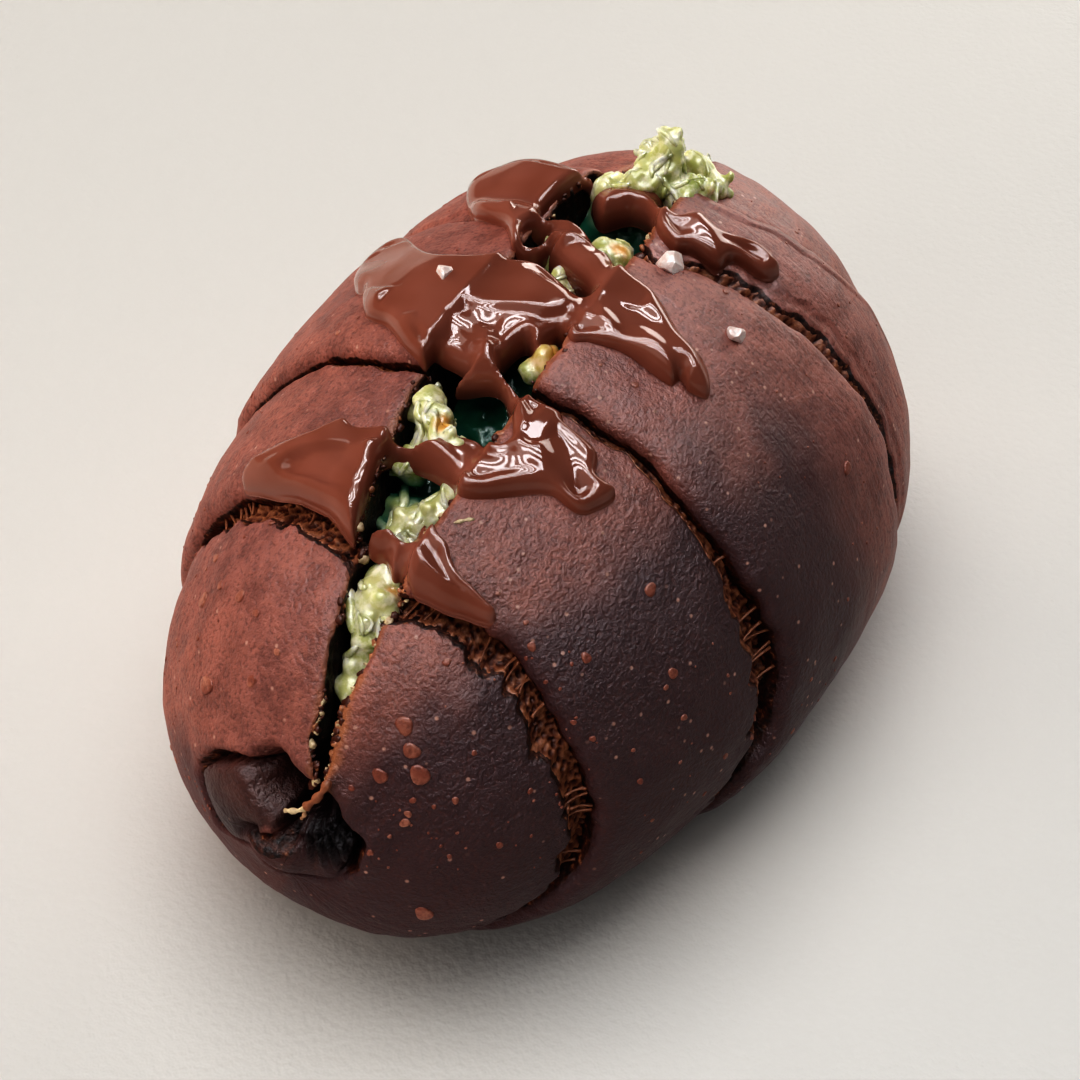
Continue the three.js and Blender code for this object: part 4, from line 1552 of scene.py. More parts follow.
@dataclass
class Filling:
    """Pistachio cream in the split: a soft core, lumps that stand up in it, and pastry threads."""

    form: RollForm = FORM
    clearance: float = 0.15
    # depth of the surface under the crust along X
    depth: tuple = ((-54, 7), (-47, 10), (-42, 9), (-37, 5.5), (-32, 9), (-27, 5), (-22, 9), (-14, 10.5),
                    (-8, 11), (2, 7.5), (10, 9), (20, 9.5), (27, 4), (45, 4))
    # x, y, z, radius along x, across, up
    lumps: tuple = (
        (-46.6, -3.4, 37.2, 1.5, 1.0, 1.8), (-43.5, -2.6, 39.6, 2.2, 1.6, 2.8),
        (-39.8, -2.3, 44.9, 2.6, 2.2, 2.8), (-37, -1.9, 46.9, 2.7, 2.9, 2.8),
        (-34.6, -1.2, 47.6, 2.3, 2.9, 2.6), (-31.0, -1.6, 47.6, 2.6, 3.2, 3.2),
        (-28.2, -1.0, 49.6, 2.6, 3.4, 3.0), (-26.4, -2.6, 50.4, 2.2, 2.4, 2.6),
        (-16, 4.2, 55.0, 2.3, 2.0, 2.8), (-18.4, 2.0, 55.2, 2.4, 2.2, 3),
        (-21.0, -0.8, 54.4, 2.5, 2.4, 3), (-22.6, 2.4, 52.4, 2.2, 2.0, 2.6),
        (-22.8, -3.8, 53.4, 2.1, 2.1, 2.5), (-41.6, -2.4, 41.8, 2.1, 1.8, 2.4),
        (-6.0, -4.5, 56.3, 2.2, 1.7, 2.3), (3.4, 2.8, 56.8, 3, 2.6, 3.2),
        (7, 0.4, 56, 2, 2, 2.6), (12.2, 4, 55.2, 3.2, 2.6, 3.4), (12.6, -2.8, 57.2, 3.2, 2.6, 3.4),
        (24.6, 2.8, 55.4, 2.8, 3.0, 3.0), (26.4, 4.2, 56.0, 2.4, 2.4, 2.6),
        (26.8, 0.0, 57.6, 2.8, 2.8, 3.2), (30.2, -0.6, 59.4, 2.9, 3.1, 3.0),
        (30.9, -1.1, 62.0, 1.6, 1.6, 2.0), (33.0, 0.6, 58.0, 2.6, 2.4, 3.2),
        (28.6, -4.0, 56.6, 3.0, 2.4, 2.8), (31.2, -5.6, 56.2, 2.4, 2.0, 2.2),
        (34.2, -6.2, 54.9, 2.2, 1.5, 1.8),
        (36.0, -2.2, 55.0, 2.4, 2.4, 3.0))
    # short shreds on each lump
    shreds: int = 13
    # pastry threads in all
    threads: int = 110
    # thick strands one by one: places along each
    fingers: tuple = (
        ((-23.2, 3.2, 50), (-25.6, 2.0, 50.6), (-28, 0.9, 50.4), (-30.4, 0.3, 50)),
        ((-25.2, -1.4, 51.6), (-27.4, -1.8, 51), (-29.4, -1.2, 50.4), (-31.6, -0.6, 50)),
        ((-27.6, 4.2, 49), (-29.4, 2.4, 49.4), (-31.2, 0.6, 49.6)),
        ((-37.6, 1.2, 48.4), (-39.2, 0.4, 47.6), (-41.0, -1.6, 46)),
        ((-17.4, 4.0, 57), (-19.2, 1.4, 57), (-21.4, 0.0, 56.4), (-22.6, -2.8, 55)),
        ((-22.0, 3.6, 54.6), (-22.6, 1.4, 55), (-23.2, -1.2, 55.2)))
    # lumps of cream with toasted pastry in them: x, y, z, radius
    toasted: tuple = (
        (-5.4, -4.6, 57.2, 2.6), (-19.6, 0.2, 57.4, 1.3), (-36.8, -3.2, 48.4, 1.2), (13.0, -3.6, 59.0, 1.4))

    def core(self) -> Solid:
        """The cream that fills the split up to its surface.

        Returns:
            Its points and faces.
        """
        x = np.linspace(-53.0, 43.0, 120)[:, None]
        share = np.array([1.0, 0.5, 0.0, -0.5, -1.0, -1.0, -0.8, -0.5, 0.0, 0.5, 0.8, 1.0])[None, :]
        rise = np.array([1, 1, 1, 1, 1, 0.9, 0.5, 0.16, 0.02, 0.16, 0.5, 0.9])[None, :]
        middle = self.form.split_middle(x)
        half = np.maximum(0.3, self.form.split_half(x) - self.clearance)
        floor = self.form.split_floor(x) + 0.5
        crust = self.form.top(x[:, 0], middle[:, 0])[:, None]
        y = middle + share * half
        z = np.minimum(floor + (crust - floor) * rise, crust - smooth_curve(self.depth, x))
        points = np.stack([x + 0 * share, y, z + 0 * share], axis=-1)
        return points.reshape(-1, 3), capped_rings(len(x), points.shape[1])

    def knobs(self) -> list[Solid]:
        """The lumps, each with short shreds that stick out of it.

        Returns:
            Points and faces of each lump and shred.
        """
        draw = np.random.default_rng(71)
        round_points, round_faces = round_ball(3)
        parts = []
        for x, y, z, rx, ry, rz in self.lumps:
            parts.append((round_points * [rx * 0.86, ry * 0.86, rz * 0.86] + [x, y, z], round_faces))
            for _ in range(self.shreds):
                toward = unit(draw.normal(size=3) * [1, 1, 0.8] + [0, 0, 0.35])
                shape = draw.uniform(0.5, 0.85) * np.array([draw.uniform(1.2, 2.0), 1.0, 1.0])
                turn, _ = np.linalg.qr(draw.normal(size=(3, 3)))
                centre = np.array([x, y, z]) + toward * [rx * 0.85, ry * 0.85, rz * 0.85]
                parts.append(((round_points * shape) @ turn + centre, round_faces))
        return parts

    def body(self) -> Piece:
        """The cream as one skin, melted together and made knobbly.

        Returns:
            The new piece.
        """
        piece = mesh_object("pistachio_cream", *joined([self.core(), *self.knobs()]))
        melt = piece.modifiers.new("melt", "REMESH")
        melt.mode, melt.voxel_size = "VOXEL", 0.42 * MM
        ease = piece.modifiers.new("ease", "SMOOTH")
        ease.factor, ease.iterations = 0.5, 3
        graph = bpy.context.evaluated_depsgraph_get()
        mesh = bpy.data.meshes.new_from_object(piece.evaluated_get(graph))
        piece.modifiers.clear()
        old = piece.data
        piece.data = mesh
        bpy.data.meshes.remove(old)
        count = len(mesh.vertices)
        place, normal = np.empty(count * 3), np.empty(count * 3)
        mesh.vertices.foreach_get("co", place)
        mesh.vertex_normals.foreach_get("vector", normal)
        place = place.reshape(-1, 3) / MM + BOX_CENTRE
        normal = normal.reshape(-1, 3)
        drawn = place * [0.6, 1.0, 0.8]
        height = 0.35 * noise(place, 2.8, seed=81) + 0.3 * noise(drawn, 1.2, seed=83)
        place = place + normal * (height * ramp(30, 40, place[:, 2]))[:, None]
        mesh.vertices.foreach_set("co", ((place - BOX_CENTRE) * MM).ravel())
        mesh.update()
        mesh.shade_smooth()
        self.mark(piece, place)
        return piece

    def mark(self, piece: Piece, points: Array) -> None:
        """Stores how far down in the split and how toasted each point is, for the material.

        Args:
            piece: the piece that stores it.
            points: the piece's points in millimetres.
        """
        gold = np.zeros(len(points))
        for x, y, z, radius in self.toasted:
            gold = np.maximum(gold, np.exp(-(np.linalg.norm(points - [x, y, z], axis=1) / radius) ** 3))
        add_values(piece, "toasted", gold)
        # the material paints points deep in the split a darker blue green, as painted shade
        add_values(piece, "sunk", self.sunk(points))

    def sunk(self, points: Array) -> Array:
        """How far down in the split points lie: 0 near the crust, 1 in the dark below."""
        level = self.form.top(points[:, 0], self.form.split_middle(points[:, 0]))
        return ramp(3.4, 6.6, level - points[:, 2])

    def strands(self, cream: Piece) -> Solid:
        """Pastry threads that lie on the cream's surface, half sunk in it.

        Args:
            cream: the piece of cream.

        Returns:
            The threads' points and faces.
        """
        draw = np.random.default_rng(91)
        tree = BVHTree.FromObject(cream, bpy.context.evaluated_depsgraph_get())
        weights = np.array([row[3] * row[4] for row in self.lumps])
        # the last nine lumps, all in the far clump, hold the most pastry
        weights[-9:] *= 1.5
        parts = []
        for _ in range(self.threads):
            x, y, z, rx, ry, rz = self.lumps[draw.choice(len(self.lumps), p=weights / weights.sum())]
            toward = unit(draw.normal(size=3) * [1, 1, 0.7] + [0, 0, 0.7])
            start = (np.array([x, y, z]) + toward * [rx, ry, rz] - BOX_CENTRE) * MM
            heading = unit(draw.normal(size=3))
            radius = draw.uniform(0.26, 0.44)
            steps = int(draw.integers(4, 9))
            path, here = [], Vector(start)
            for _ in range(steps):
                found, out, _, _ = tree.find_nearest(here)
                if found is None:
                    break
                heading = heading - np.dot(heading, out) * np.array(out)
                heading = unit(heading + 0.35 * draw.normal(size=3))
                path.append(np.array(found + out * (radius * 0.15 * MM)) / MM + BOX_CENTRE)
                here = found + Vector(heading * 0.75 * MM)
            if len(path) < 4:
                continue
            path = np.array(path)
            path[1:-1] = 0.25 * path[:-2] + 0.5 * path[1:-1] + 0.25 * path[2:]
            f = np.linspace(0, 1, len(path))
            parts.append(tube(path, radius * (0.45 + 0.55 * np.sin(math.pi * f) ** 0.4), 7))
        for finger in self.fingers:
            path = curve_through(finger, 12)
            snapped = []
            for spot in path:
                found, out, _, _ = tree.find_nearest(Vector((spot - BOX_CENTRE) * MM))
                snapped.append(np.array(found + out * 0.2 * MM) / MM + BOX_CENTRE)
            path = 0.35 * path + 0.65 * np.array(snapped)
            f = np.linspace(0.0, 1.0, len(path))
            parts.append(tube(path, 0.62 * (0.55 + 0.45 * np.sin(math.pi * f) ** 0.4), 10))
        return joined(parts)

    def make(self, finish: Material) -> list[Piece]:
        """Builds and dresses the cream and its threads.

        Args:
            finish: their material.

        Returns:
            The two pieces.
        """
        cream = self.body()
        cream.data.materials.clear()
        cream.data.materials.append(finish)
        points, faces = self.strands(cream)
        threads = mesh_object("pastry_threads", points, faces)
        self.mark(threads, points)
        threads.data.materials.append(finish)
        return [cream, threads]


# ---- sauce


@dataclass
class CrustMap:
    """Levels of the crust in plan, read quickly from a grid worked out once."""

    form: RollForm = FORM
    step: float = 0.5
    half_x: float = 56.0
    half_y: float = 38.0
    bridge_mm: float = 1.2

    def __post_init__(self) -> None:
        """Works out the grid, and one with its grooves bridged and its bumps eased."""
        x, y = np.meshgrid(np.arange(-self.half_x, self.half_x + self.step, self.step),
                           np.arange(-self.half_y, self.half_y + self.step, self.step), indexing="ij")
        self.bare = self.form.top(x, y)
        reach = int(round(self.bridge_mm / self.step))
        wide = self.bare.copy()
        for dx in range(-reach, reach + 1):
            for dy in range(-reach, reach + 1):
                if dx * dx + dy * dy <= reach * reach:
                    drop = 0.1 * math.hypot(dx, dy) * self.step
                    wide = np.maximum(wide, np.roll(self.bare, (dx, dy), (0, 1)) - drop)
        for _ in range(6):
            for axis in (0, 1):
                wide = 0.25 * np.roll(wide, 1, axis) + 0.5 * wide + 0.25 * np.roll(wide, -1, axis)
        self.bridged = wide

    def read(self, levels: Array, x: Array, y: Array) -> Array:
        """Levels between the grid's points.

        Args:
            levels: one of the grids.
            x: places along the roll.
            y: places across it.

        Returns:
            The level at each place.
        """
        u = np.clip((x + self.half_x) / self.step, 0, levels.shape[0] - 1.001)
        v = np.clip((y + self.half_y) / self.step, 0, levels.shape[1] - 1.001)
        i, j = u.astype(int), v.astype(int)
        f, g = u - i, v - j
        near = levels[i, j] * (1 - g) + levels[i, j + 1] * g
        far = levels[i + 1, j] * (1 - g) + levels[i + 1, j + 1] * g
        return near * (1 - f) + far * f


def round_outline(corners: tuple, step: float) -> Array:
    """A closed smooth curve through corners, in even steps.

    Args:
        corners: x and y of each corner.
        step: length of a step in millimetres.

    Returns:
        Its points.
    """
    ring = np.array(corners, dtype=float)
    gaps = np.linalg.norm(np.roll(ring, -1, axis=0) - ring, axis=1)
    keys = np.concatenate([[0.0], np.cumsum(gaps)])
    rows = tuple((keys[i], ring[i, 0], ring[i, 1]) for i in range(len(ring)))
    at = np.arange(0.0, keys[-1], 0.08)
    dense = np.stack([smooth_curve(rows, at, k, period=keys[-1]) for k in (1, 2)], axis=-1)
    lengths = np.concatenate([[0.0], np.cumsum(np.linalg.norm(np.diff(dense, axis=0), axis=1))])
    even = np.linspace(0.0, lengths[-1], int(lengths[-1] / step), endpoint=False)
    return np.stack([np.interp(even, lengths, dense[:, k]) for k in (0, 1)], axis=-1)


def outline_distance(points: Array, rings: list[Array]) -> Array:
    """Distance in plan to the nearest of some closed outlines, negative inside them.

    Args:
        points: places, two numbers in each row.
        rings: the outlines, a hole being one more outline inside another.

    Returns:
        The distance of each place.
    """
    nearest = np.full(len(points), 1e9)
    inside = np.zeros(len(points), dtype=bool)
    for ring in rings:
        ends = np.roll(ring, -1, axis=0)
        for (ax, ay), (bx, by) in zip(ring, ends):
            px, py = points[:, 0] - ax, points[:, 1] - ay
            ex, ey = bx - ax, by - ay
            f = np.clip((px * ex + py * ey) / (ex * ex + ey * ey), 0.0, 1.0)
            nearest = np.minimum(nearest, (px - f * ex) ** 2 + (py - f * ey) ** 2)
            if ay != by:
                inside ^= ((ay > points[:, 1]) != (by > points[:, 1])) & (px < ex * py / ey)
    return np.where(inside, -1.0, 1.0) * np.sqrt(nearest)


def inward_from(points: Array, rings: list[Array]) -> Array:
    """Directions in plan that lead away from the nearest outline, inwards.

    Args:
        points: places, two numbers in each row.
        rings: the outlines.

    Returns:
        A direction for each place, one long.
    """
    lean = np.array([[0.02, 0.0], [0.0, 0.02]])
    slopes = [outline_distance(points + d, rings) - outline_distance(points - d, rings) for d in lean]
    return -unit(np.stack(slopes, axis=-1))


@dataclass
class Sauce:
    """A sheet of chocolate sauce that lies over the crust and sags into the split."""

    name: str
    node: str
    levels: CrustMap
    outline: tuple
    holes: tuple = ()
    # places where the sauce lies flat: x, y and radius at both ends of a line
    pools: tuple = ()
    thickness: float = 1.9
    # width of its rounded rim, and how boxy the rim's curve is
    rim: float = 1.5
    rim_power: float = 2.6
    # spacing of its points, and distance inside the edge of the rings that follow it
    step: float = 0.24
    insets: tuple = (0.1, 0.28, 0.55)
    # how far it sags over the split, and how far its free edges hang there
    sag: float = 1.0
    curtain: float = 2.2
    # height of its folds, and how fast it falls away from a flat pool
    fold: float = 0.85
    tilt: float = 0.12

    def over_split(self, x: Array, y: Array) -> Array:
        """How far places are over the open split.

        Args:
            x: places along the roll.
            y: places across it.

        Returns:
            0 at the split's edge and outside it, up to 1 at its middle.
        """
        form = self.levels.form
        half = form.split_half(x)
        across = (y - form.split_middle(x)) / (half + 0.5)
        return np.clip(1.0 - across**4, 0.0, 1.0) * ramp(0.3, 1.5, half)

    def level(self, x: Array, y: Array, depth: Array) -> Array:
        """Level on which the sauce lies: sagging over the split, and hanging down at its free edges.

        Args:
            x: places along the roll.
            y: places across it.
            depth: their distance inside the sauce's edge.

        Returns:
            The level at each place.
        """
        over = self.over_split(x, y)
        hang = self.curtain * np.exp(-depth / 1.1) * ramp(0.1, 0.7, over)
        return self.levels.read(self.levels.bridged, x, y) - self.sag * over - hang

    def folds(self, x: Array, y: Array, depth: Array) -> Array:
        """Wet folds in the sauce's skin wherever it doesn't lie in a flat pool.

        Args:
            x: places along the roll.
            y: places across it.
            depth: their distance inside the sauce's edge.

        Returns:
            The height that the folds add at each place.
        """
        away = np.full_like(x, 1e3)
        for ax, ay, ar, bx, by, br in self.pools:
            span = (bx - ax) ** 2 + (by - ay) ** 2
            f = np.clip(((x - ax) * (bx - ax) + (y - ay) * (by - ay)) / span, 0.0, 1.0)
            off_line = np.hypot(x - ax - f * (bx - ax), y - ay - f * (by - ay))
            away = np.minimum(away, off_line - ar - f * (br - ar))
        place = np.stack([x - 0.3 * y, 0.6 * y, 0 * x], axis=-1)
        warp = np.stack([noise(place, 6.0, seed=121), noise(place, 6.0, seed=122), 0 * x], axis=-1)
        broad = noise(place + 1.2 * warp, 4.6, seed=107)
        small = noise(place + 0.8 * warp, 1.8, seed=113)
        busy = ramp(-0.3, 0.9, away) * ramp(0.15, 1.8, depth)
        return busy * (self.fold * broad + 0.27 * small - self.tilt * np.clip(away, 0.0, 3.0))

    def make(self, finish: Material) -> Piece:
        """Builds the sheet from rings that follow its edge and a grid within, and dresses it.

        Args:
            finish: its material.

        Returns:
            The new piece.
        """
        rings = [round_outline(corners, self.step) for corners in (self.outline, *self.holes)]
        edge = np.concatenate(rings)
        links, start = [], 0
        for ring in rings:
            links += [(start + i, start + (i + 1) % len(ring)) for i in range(len(ring))]
            start += len(ring)
        low, high = edge.min(axis=0), edge.max(axis=0)
        gx, gy = np.meshgrid(*(np.arange(a, b, self.step) for a, b in zip(low, high)), indexing="ij")
        loose, inward = [edge], inward_from(edge, rings)
        for inset in self.insets:
            ring = edge + inward * inset
            loose.append(ring[-outline_distance(ring, rings) > 0.85 * inset])
        grid = np.stack([gx.ravel(), gy.ravel()], axis=-1)
        loose.append(grid[-outline_distance(grid, rings) > 0.8])
        plan = [Vector(p) for p in np.concatenate(loose)]
        verts, _, faces, origin, _, _ = delaunay_2d_cdt(plan, links, [], 0, 1e-5)
        spots = np.array([v[:] for v in verts])
        middles = np.array([spots[list(face)].mean(axis=0) for face in faces])
        faces = [face for face, d in zip(faces, outline_distance(middles, rings)) if d < 0]
        count = len(spots)
        is_edge = np.array([any(i < len(edge) for i in source) for source in origin])
        depth = np.where(is_edge, 0.0, np.maximum(0.0, -outline_distance(spots, rings)))
        x, y = spots[:, 0], spots[:, 1]
        base = self.level(x, y, depth)
        place = np.stack([x, y, 0 * x], axis=-1)
        thick = self.thickness * (1 + 0.2 * noise(place, 7.0, seed=105))
        bead = (1 - (1 - np.clip(depth / self.rim, 0, 1)) ** self.rim_power) ** (1 / self.rim_power)
        top = base + 0.12 + thick * bead + self.folds(x, y, depth)
        on_crust = np.minimum(base - 0.45, self.levels.read(self.levels.bare, x, y) - 0.35)
        on_crust = np.maximum(on_crust, base - 1.1)
        low_z = np.where(self.over_split(x, y) > 0.3, base - 0.45, on_crust)
        bottom = spots.copy()
        bottom[is_edge] += 0.22 * inward_from(spots[is_edge], rings)
        upper = np.column_stack([spots, np.maximum(top, low_z + 0.3)])
        lower = np.column_stack([bottom, low_z])
        borders = {side: True for face in faces for side in zip(face, face[1:] + face[:1])}
        sides = [[b, a, a + count, b + count] for a, b in borders if (b, a) not in borders]
        all_faces = [*faces, *([v + count for v in reversed(face)] for face in faces), *sides]
        piece = mesh_object(self.name, np.concatenate([upper, lower]), all_faces)
        work = bmesh.new()
        work.from_mesh(piece.data)
        bmesh.ops.delete(work, geom=[v for v in work.verts if not v.link_faces], context="VERTS")
        bmesh.ops.recalc_face_normals(work, faces=work.faces)
        work.to_mesh(piece.data)
        work.free()
        piece.data.materials.append(finish)
        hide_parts(self.node)
        return piece


# outlines of the sauce in plan
MAIN_SAUCE = (
    # the far pool on the left
    (19.5, 20.7), (22.9, 22.4), (25.3, 22.4), (27, 19.6), (27.3, 16.1), (25, 7.9),
    # over the split at the far end
    (26.2, 6.9), (25.6, 4.6), (32.4, 3.5), (31.9, 0.7), (27.4, -2.3), (25.2, -3.1), (21.8, -6.5),
    (24, -8.7),
    # the far tongue on the right
    (23.5, -11.8), (25.6, -15.8), (24.9, -18.8), (22.6, -17.8), (21.7, -14.4), (19.2, -13.4),
    (18.7, -10), (17.7, -8.6), (18.4, -6.2),
    # round the far hollow
    (21.5, -3.2), (22.2, -0.7), (19.7, 2), (22.3, 4.9), (24.2, 5.2), (25.6, 6.5), (24.7, 7.3),
    (17.6, 8.4), (16, 8.2),
    # back over the split
    (15, 6.4), (16.5, 3.5), (12, -2.2), (11.5, -3.8),
    # the middle tongue on the right
    (9.1, -6.7), (7.9, -11.1), (4.8, -15.8), (3.5, -19.5), (0.7, -21.4), (-0.5, -19.5), (0, -18.2),
    (-1.4, -17.7), (-1.5, -12), (-2.8, -8.5), (-4, -6.9),
    # along the split
    (-2.3, -4.4), (-6, -3.5), (-5.3, -1.8), (-8.7, -1.2), (-10.7, -2.1),
    # the near tongue on the right
    (-12.6, -7.1), (-12.4, -10.1), (-13.2, -11.2), (-13.9, -15.3), (-16.2, -16.5), (-16.2, -18.8),
    (-19.6, -17.6), (-20.7, -16.4), (-21, -13.4), (-25.7, -8.1), (-26.7, -6),
    # over the split at the near end
    (-24.8, -3.5), (-24.2, 1.9), (-24.5, 3.5), (-26.7, 3.7), (-33.4, 2.3),
    # the near tongue on the left
    (-34.9, 2.3), (-33, 6.8), (-30.2, 19.6), (-29.4, 20.7), (-28, 19.8), (-25.7, 13.4),
    # round the hollow with the cream
    (-23.2, 10.5), (-23.8, 8.6), (-22.8, 5.6), (-22.8, 2.1), (-20.2, 0.1), (-19, -3.6), (-20, -6.7),
    (-18.2, -7.3), (-14, -4.6), (-12, -2.1), (-13.3, 2.6), (-11.6, 1.9), (-11, 5.8), (-13.1, 6.5),
    (-12.1, 9.5),
    # the middle pool on the left
    (-8.9, 14.2), (-7.5, 17.6), (-4.6, 20.2), (-1.8, 21.8), (-0.6, 23.6), (2, 26), (5, 27.2),
    (7.6, 26.9), (9.2, 25.4), (8.9, 22.8), (4.1, 16.8), (2.9, 14),
    # the slit between the pools
    (3.3, 10.3), (4.2, 7.2), (6.2, 4.5), (6.2, 2), (3.7, -3.9), (4.7, -4.4), (6, -2.7), (8.9, 3.2),
    (10.4, 3.9), (8.4, 4.3), (7.2, 5.5), (7.3, 7), (11.7, 10.8), (14.3, 16.2))
SAUCE_HOLE = (
    (8.7, 6), (9.8, 7.2), (11.6, 7.5), (12.9, 6.7), (12.7, 5.7), (11.1, 5.2), (9.5, 5.2))
FRONT_SAUCE = (
    (-34.3, 0.9), (-33.4, 1), (-32.6, -0.1), (-32.1, -1.2), (-32.5, -2.2), (-32.6, -3.4), (-31.2, -3.4),
    (-30.2, -4), (-31.8, -6.6), (-32.2, -7.9), (-33.1, -8.8), (-33.8, -10.2), (-34, -11.8),
    (-34.2, -13.5), (-34.4, -14.6), (-35.1, -14.3), (-35.5, -13.1), (-35.8, -11.6), (-36.4, -9.7),
    (-36.7, -7.9), (-36.9, -6.1), (-35.3, -3.8), (-35.8, -3.1), (-35.1, -2.2), (-34.5, -1.4),
    (-34.6, -0.2))
# flat pools: x, y and radius at both ends of a line
POOLS = (
    (20, 16, 5.5, 19, 9, 4.2), (19, 9, 4.0, 12.5, 8, 1.5), (20, 0, 1.8, 21.8, -2.4, 1.4),
    (8, -1, 2.8, 5.6, -9, 1.9), (1.8, 22, 5.0, -0.8, 8, 4.2), (-0.8, 8, 4.2, 0.4, -1.5, 2.2),
    (-6.4, 13, 3.0, -5.0, 9, 2.6), (-7.0, 9.2, 1.8, -10.0, 7.1, 1.0), (-27.6, 17, 1.5, -24.6, 8, 2.0),
    (-24.6, 8, 1.8, -23.8, 4.6, 0.8), (-17.5, -9.5, 1.0, -13.6, -9.5, 0.8))


# ---- salt and crumbs


@dataclass
class TornEdge:
    """Crumbs torn loose where the crust was split, on the split's edges."""

    form: RollForm = FORM
    count: int = 760
    # strands torn loose, one by one: thickness, paleness, then places along each
    strands: tuple = (
        (0.62, 0.75, (-53.2, -5.2, 37.4), (-54.2, -5.0, 36.6), (-55.0, -4.4, 35.6), (-55.5, -3.6, 34.6)),
        (0.42, 1.5, (-55.2, -4.2, 35.3), (-55.8, -3.4, 34.4), (-56.2, -2.4, 33.9), (-56.4, -1.4, 33.6)),
        (0.3, 1.2, (-55.6, -3.4, 34.6), (-56.0, -3.6, 33.8), (-56.2, -3.3, 33.2)),
        (0.28, 1.5, (-29.7, -6.5, 54.5), (-29.1, -7.3, 54.7), (-28.4, -7.8, 54.6), (-27.9, -8.4, 54.5)))

    def crumb(self, ball: tuple, draw: np.random.Generator, size: float) -> Solid:
        """One irregular crumb about the origin.

        Args:
            ball: points and faces of a round ball of radius 1.
            draw: the random numbers it is shaped by.
            size: its rough radius in millimetres.

        Returns:
            Its points and faces.
        """
        points, faces = ball
        axes = draw.uniform(0.55, 1.3, 3)
        bumps = 1.0 + 0.3 * noise(points * 1.7 + draw.uniform(0, 50, 3), 1.2, seed=3)
        turn, _ = np.linalg.qr(draw.normal(size=(3, 3)))
        return (points * axes * bumps[:, None] * size) @ turn, faces

    def make(self, finish: Material) -> Piece:
        """Builds and dresses all crumbs and loose strands as one piece.

        Args:
            finish: their material.

        Returns:
            The new piece.
        """
        draw = np.random.default_rng(611)
        ball = round_ball(2)
        crust = Crust(self.form)
        parts, pale = [], []
        while len(parts) < self.count:
            x = draw.uniform(-53.5, -33.0 if draw.random() < 0.35 else 42.0)
            side = int(draw.choice((-1, 1)))
            at = np.array([x])
            patch = noise(np.array([[x, 7.0 * side, 0.0]]), 4.0, seed=617)[0]
            if patch < draw.uniform(-0.6, 0.5) or self.form.split_half(at)[0] < 0.35:
                continue
            angle = crust.split_edge(at, side) - side * abs(draw.normal()) * 0.5
            body = self.form.smooth_body(at, angle)
            over = self.form.turn_relief(at, angle) + self.form.unevenness(body) - 0.1
            body = body + self.form.normal(at, angle) * over[:, None]
            size = draw.uniform(0.14, 0.42) * (1.5 if draw.random() < 0.12 else 1.0)
            place = body[0] + np.array([0, -side * draw.uniform(-0.3, 0.35), -abs(draw.normal()) * 0.45])
            points, faces = self.crumb(ball, draw, size)
            parts.append((points + place, faces))
            pale.append(np.full(len(points), draw.choice((0.35, 0.95, 1.5), p=(0.55, 0.25, 0.2))))
        for thickness, paleness, *places in self.strands:
            f = np.linspace(0.0, len(places) - 1.0, 9)
            radii = thickness * (0.7 + 0.25 * np.sin(5.0 * f + thickness * 9.0))
            parts.append(tube(curve_through(places, len(f)), radii, 8))
            pale.append(np.full(len(parts[-1][0]), paleness))
        piece = mesh_object("edge_crumbs", *joined(parts))
        add_values(piece, "height", np.concatenate(pale))
        piece.data.materials.append(finish)
        return piece


@dataclass
class Salt:
    """Coarse salt crystals, each a lump with broken faces."""

    form: RollForm = FORM
    # x, y, height over the crust, edge length, turn in degrees
    crystals: tuple = ((14.8, -9.4, 0.6, 3.4, 25), (11.1, -19.7, 0.4, 2.2, 50), (-1.8, 10.6, 2.2, 2.4, 35))

    def crystal(self, edge: float, turn: float, seed: int) -> Solid:
        """One crystal about the origin.

        Args:
            edge: its size in millimetres.
            turn: its turn about Z in degrees.
            seed: picks how it broke.

        Returns:
            Its points and faces.
        """
        draw = np.random.default_rng(seed)
        work = bmesh.new()
        bmesh.ops.create_icosphere(work, subdivisions=3, radius=0.62)
        for _ in range(11):
            face = Vector(unit(draw.normal(size=3)))
            whole = [*work.verts, *work.edges, *work.faces]
            bmesh.ops.bisect_plane(work, geom=whole, plane_co=face * draw.uniform(0.36, 0.5),
                                   plane_no=face, clear_outer=True)
            bmesh.ops.holes_fill(work, edges=[edge for edge in work.edges if edge.is_boundary])
        spin = Matrix.Rotation(math.radians(turn), 3, "Z") @ Matrix.Rotation(math.radians(18), 3, "X")
        bmesh.ops.scale(work, vec=(edge, edge * 0.8, edge * 0.8), verts=work.verts)
        bmesh.ops.rotate(work, matrix=spin, verts=work.verts)
        return taken(work)

    def make(self, finish: Material) -> Piece:
        """Builds and dresses all crystals as one piece.

        Args:
            finish: their material.

        Returns:
            The new piece.
        """
        parts = []
        for i, (x, y, over, edge, turn) in enumerate(self.crystals):
            level = float(self.form.top(np.array([x]), np.array([y]))[0]) + over
            points, faces = self.crystal(edge, turn, 500 + i)
            parts.append((points + np.array([x, y, level]), faces))
        piece = mesh_object("salt_crystals", *joined(parts), smooth=False)
        piece.data.materials.append(finish)
        return piece


# ---- the room


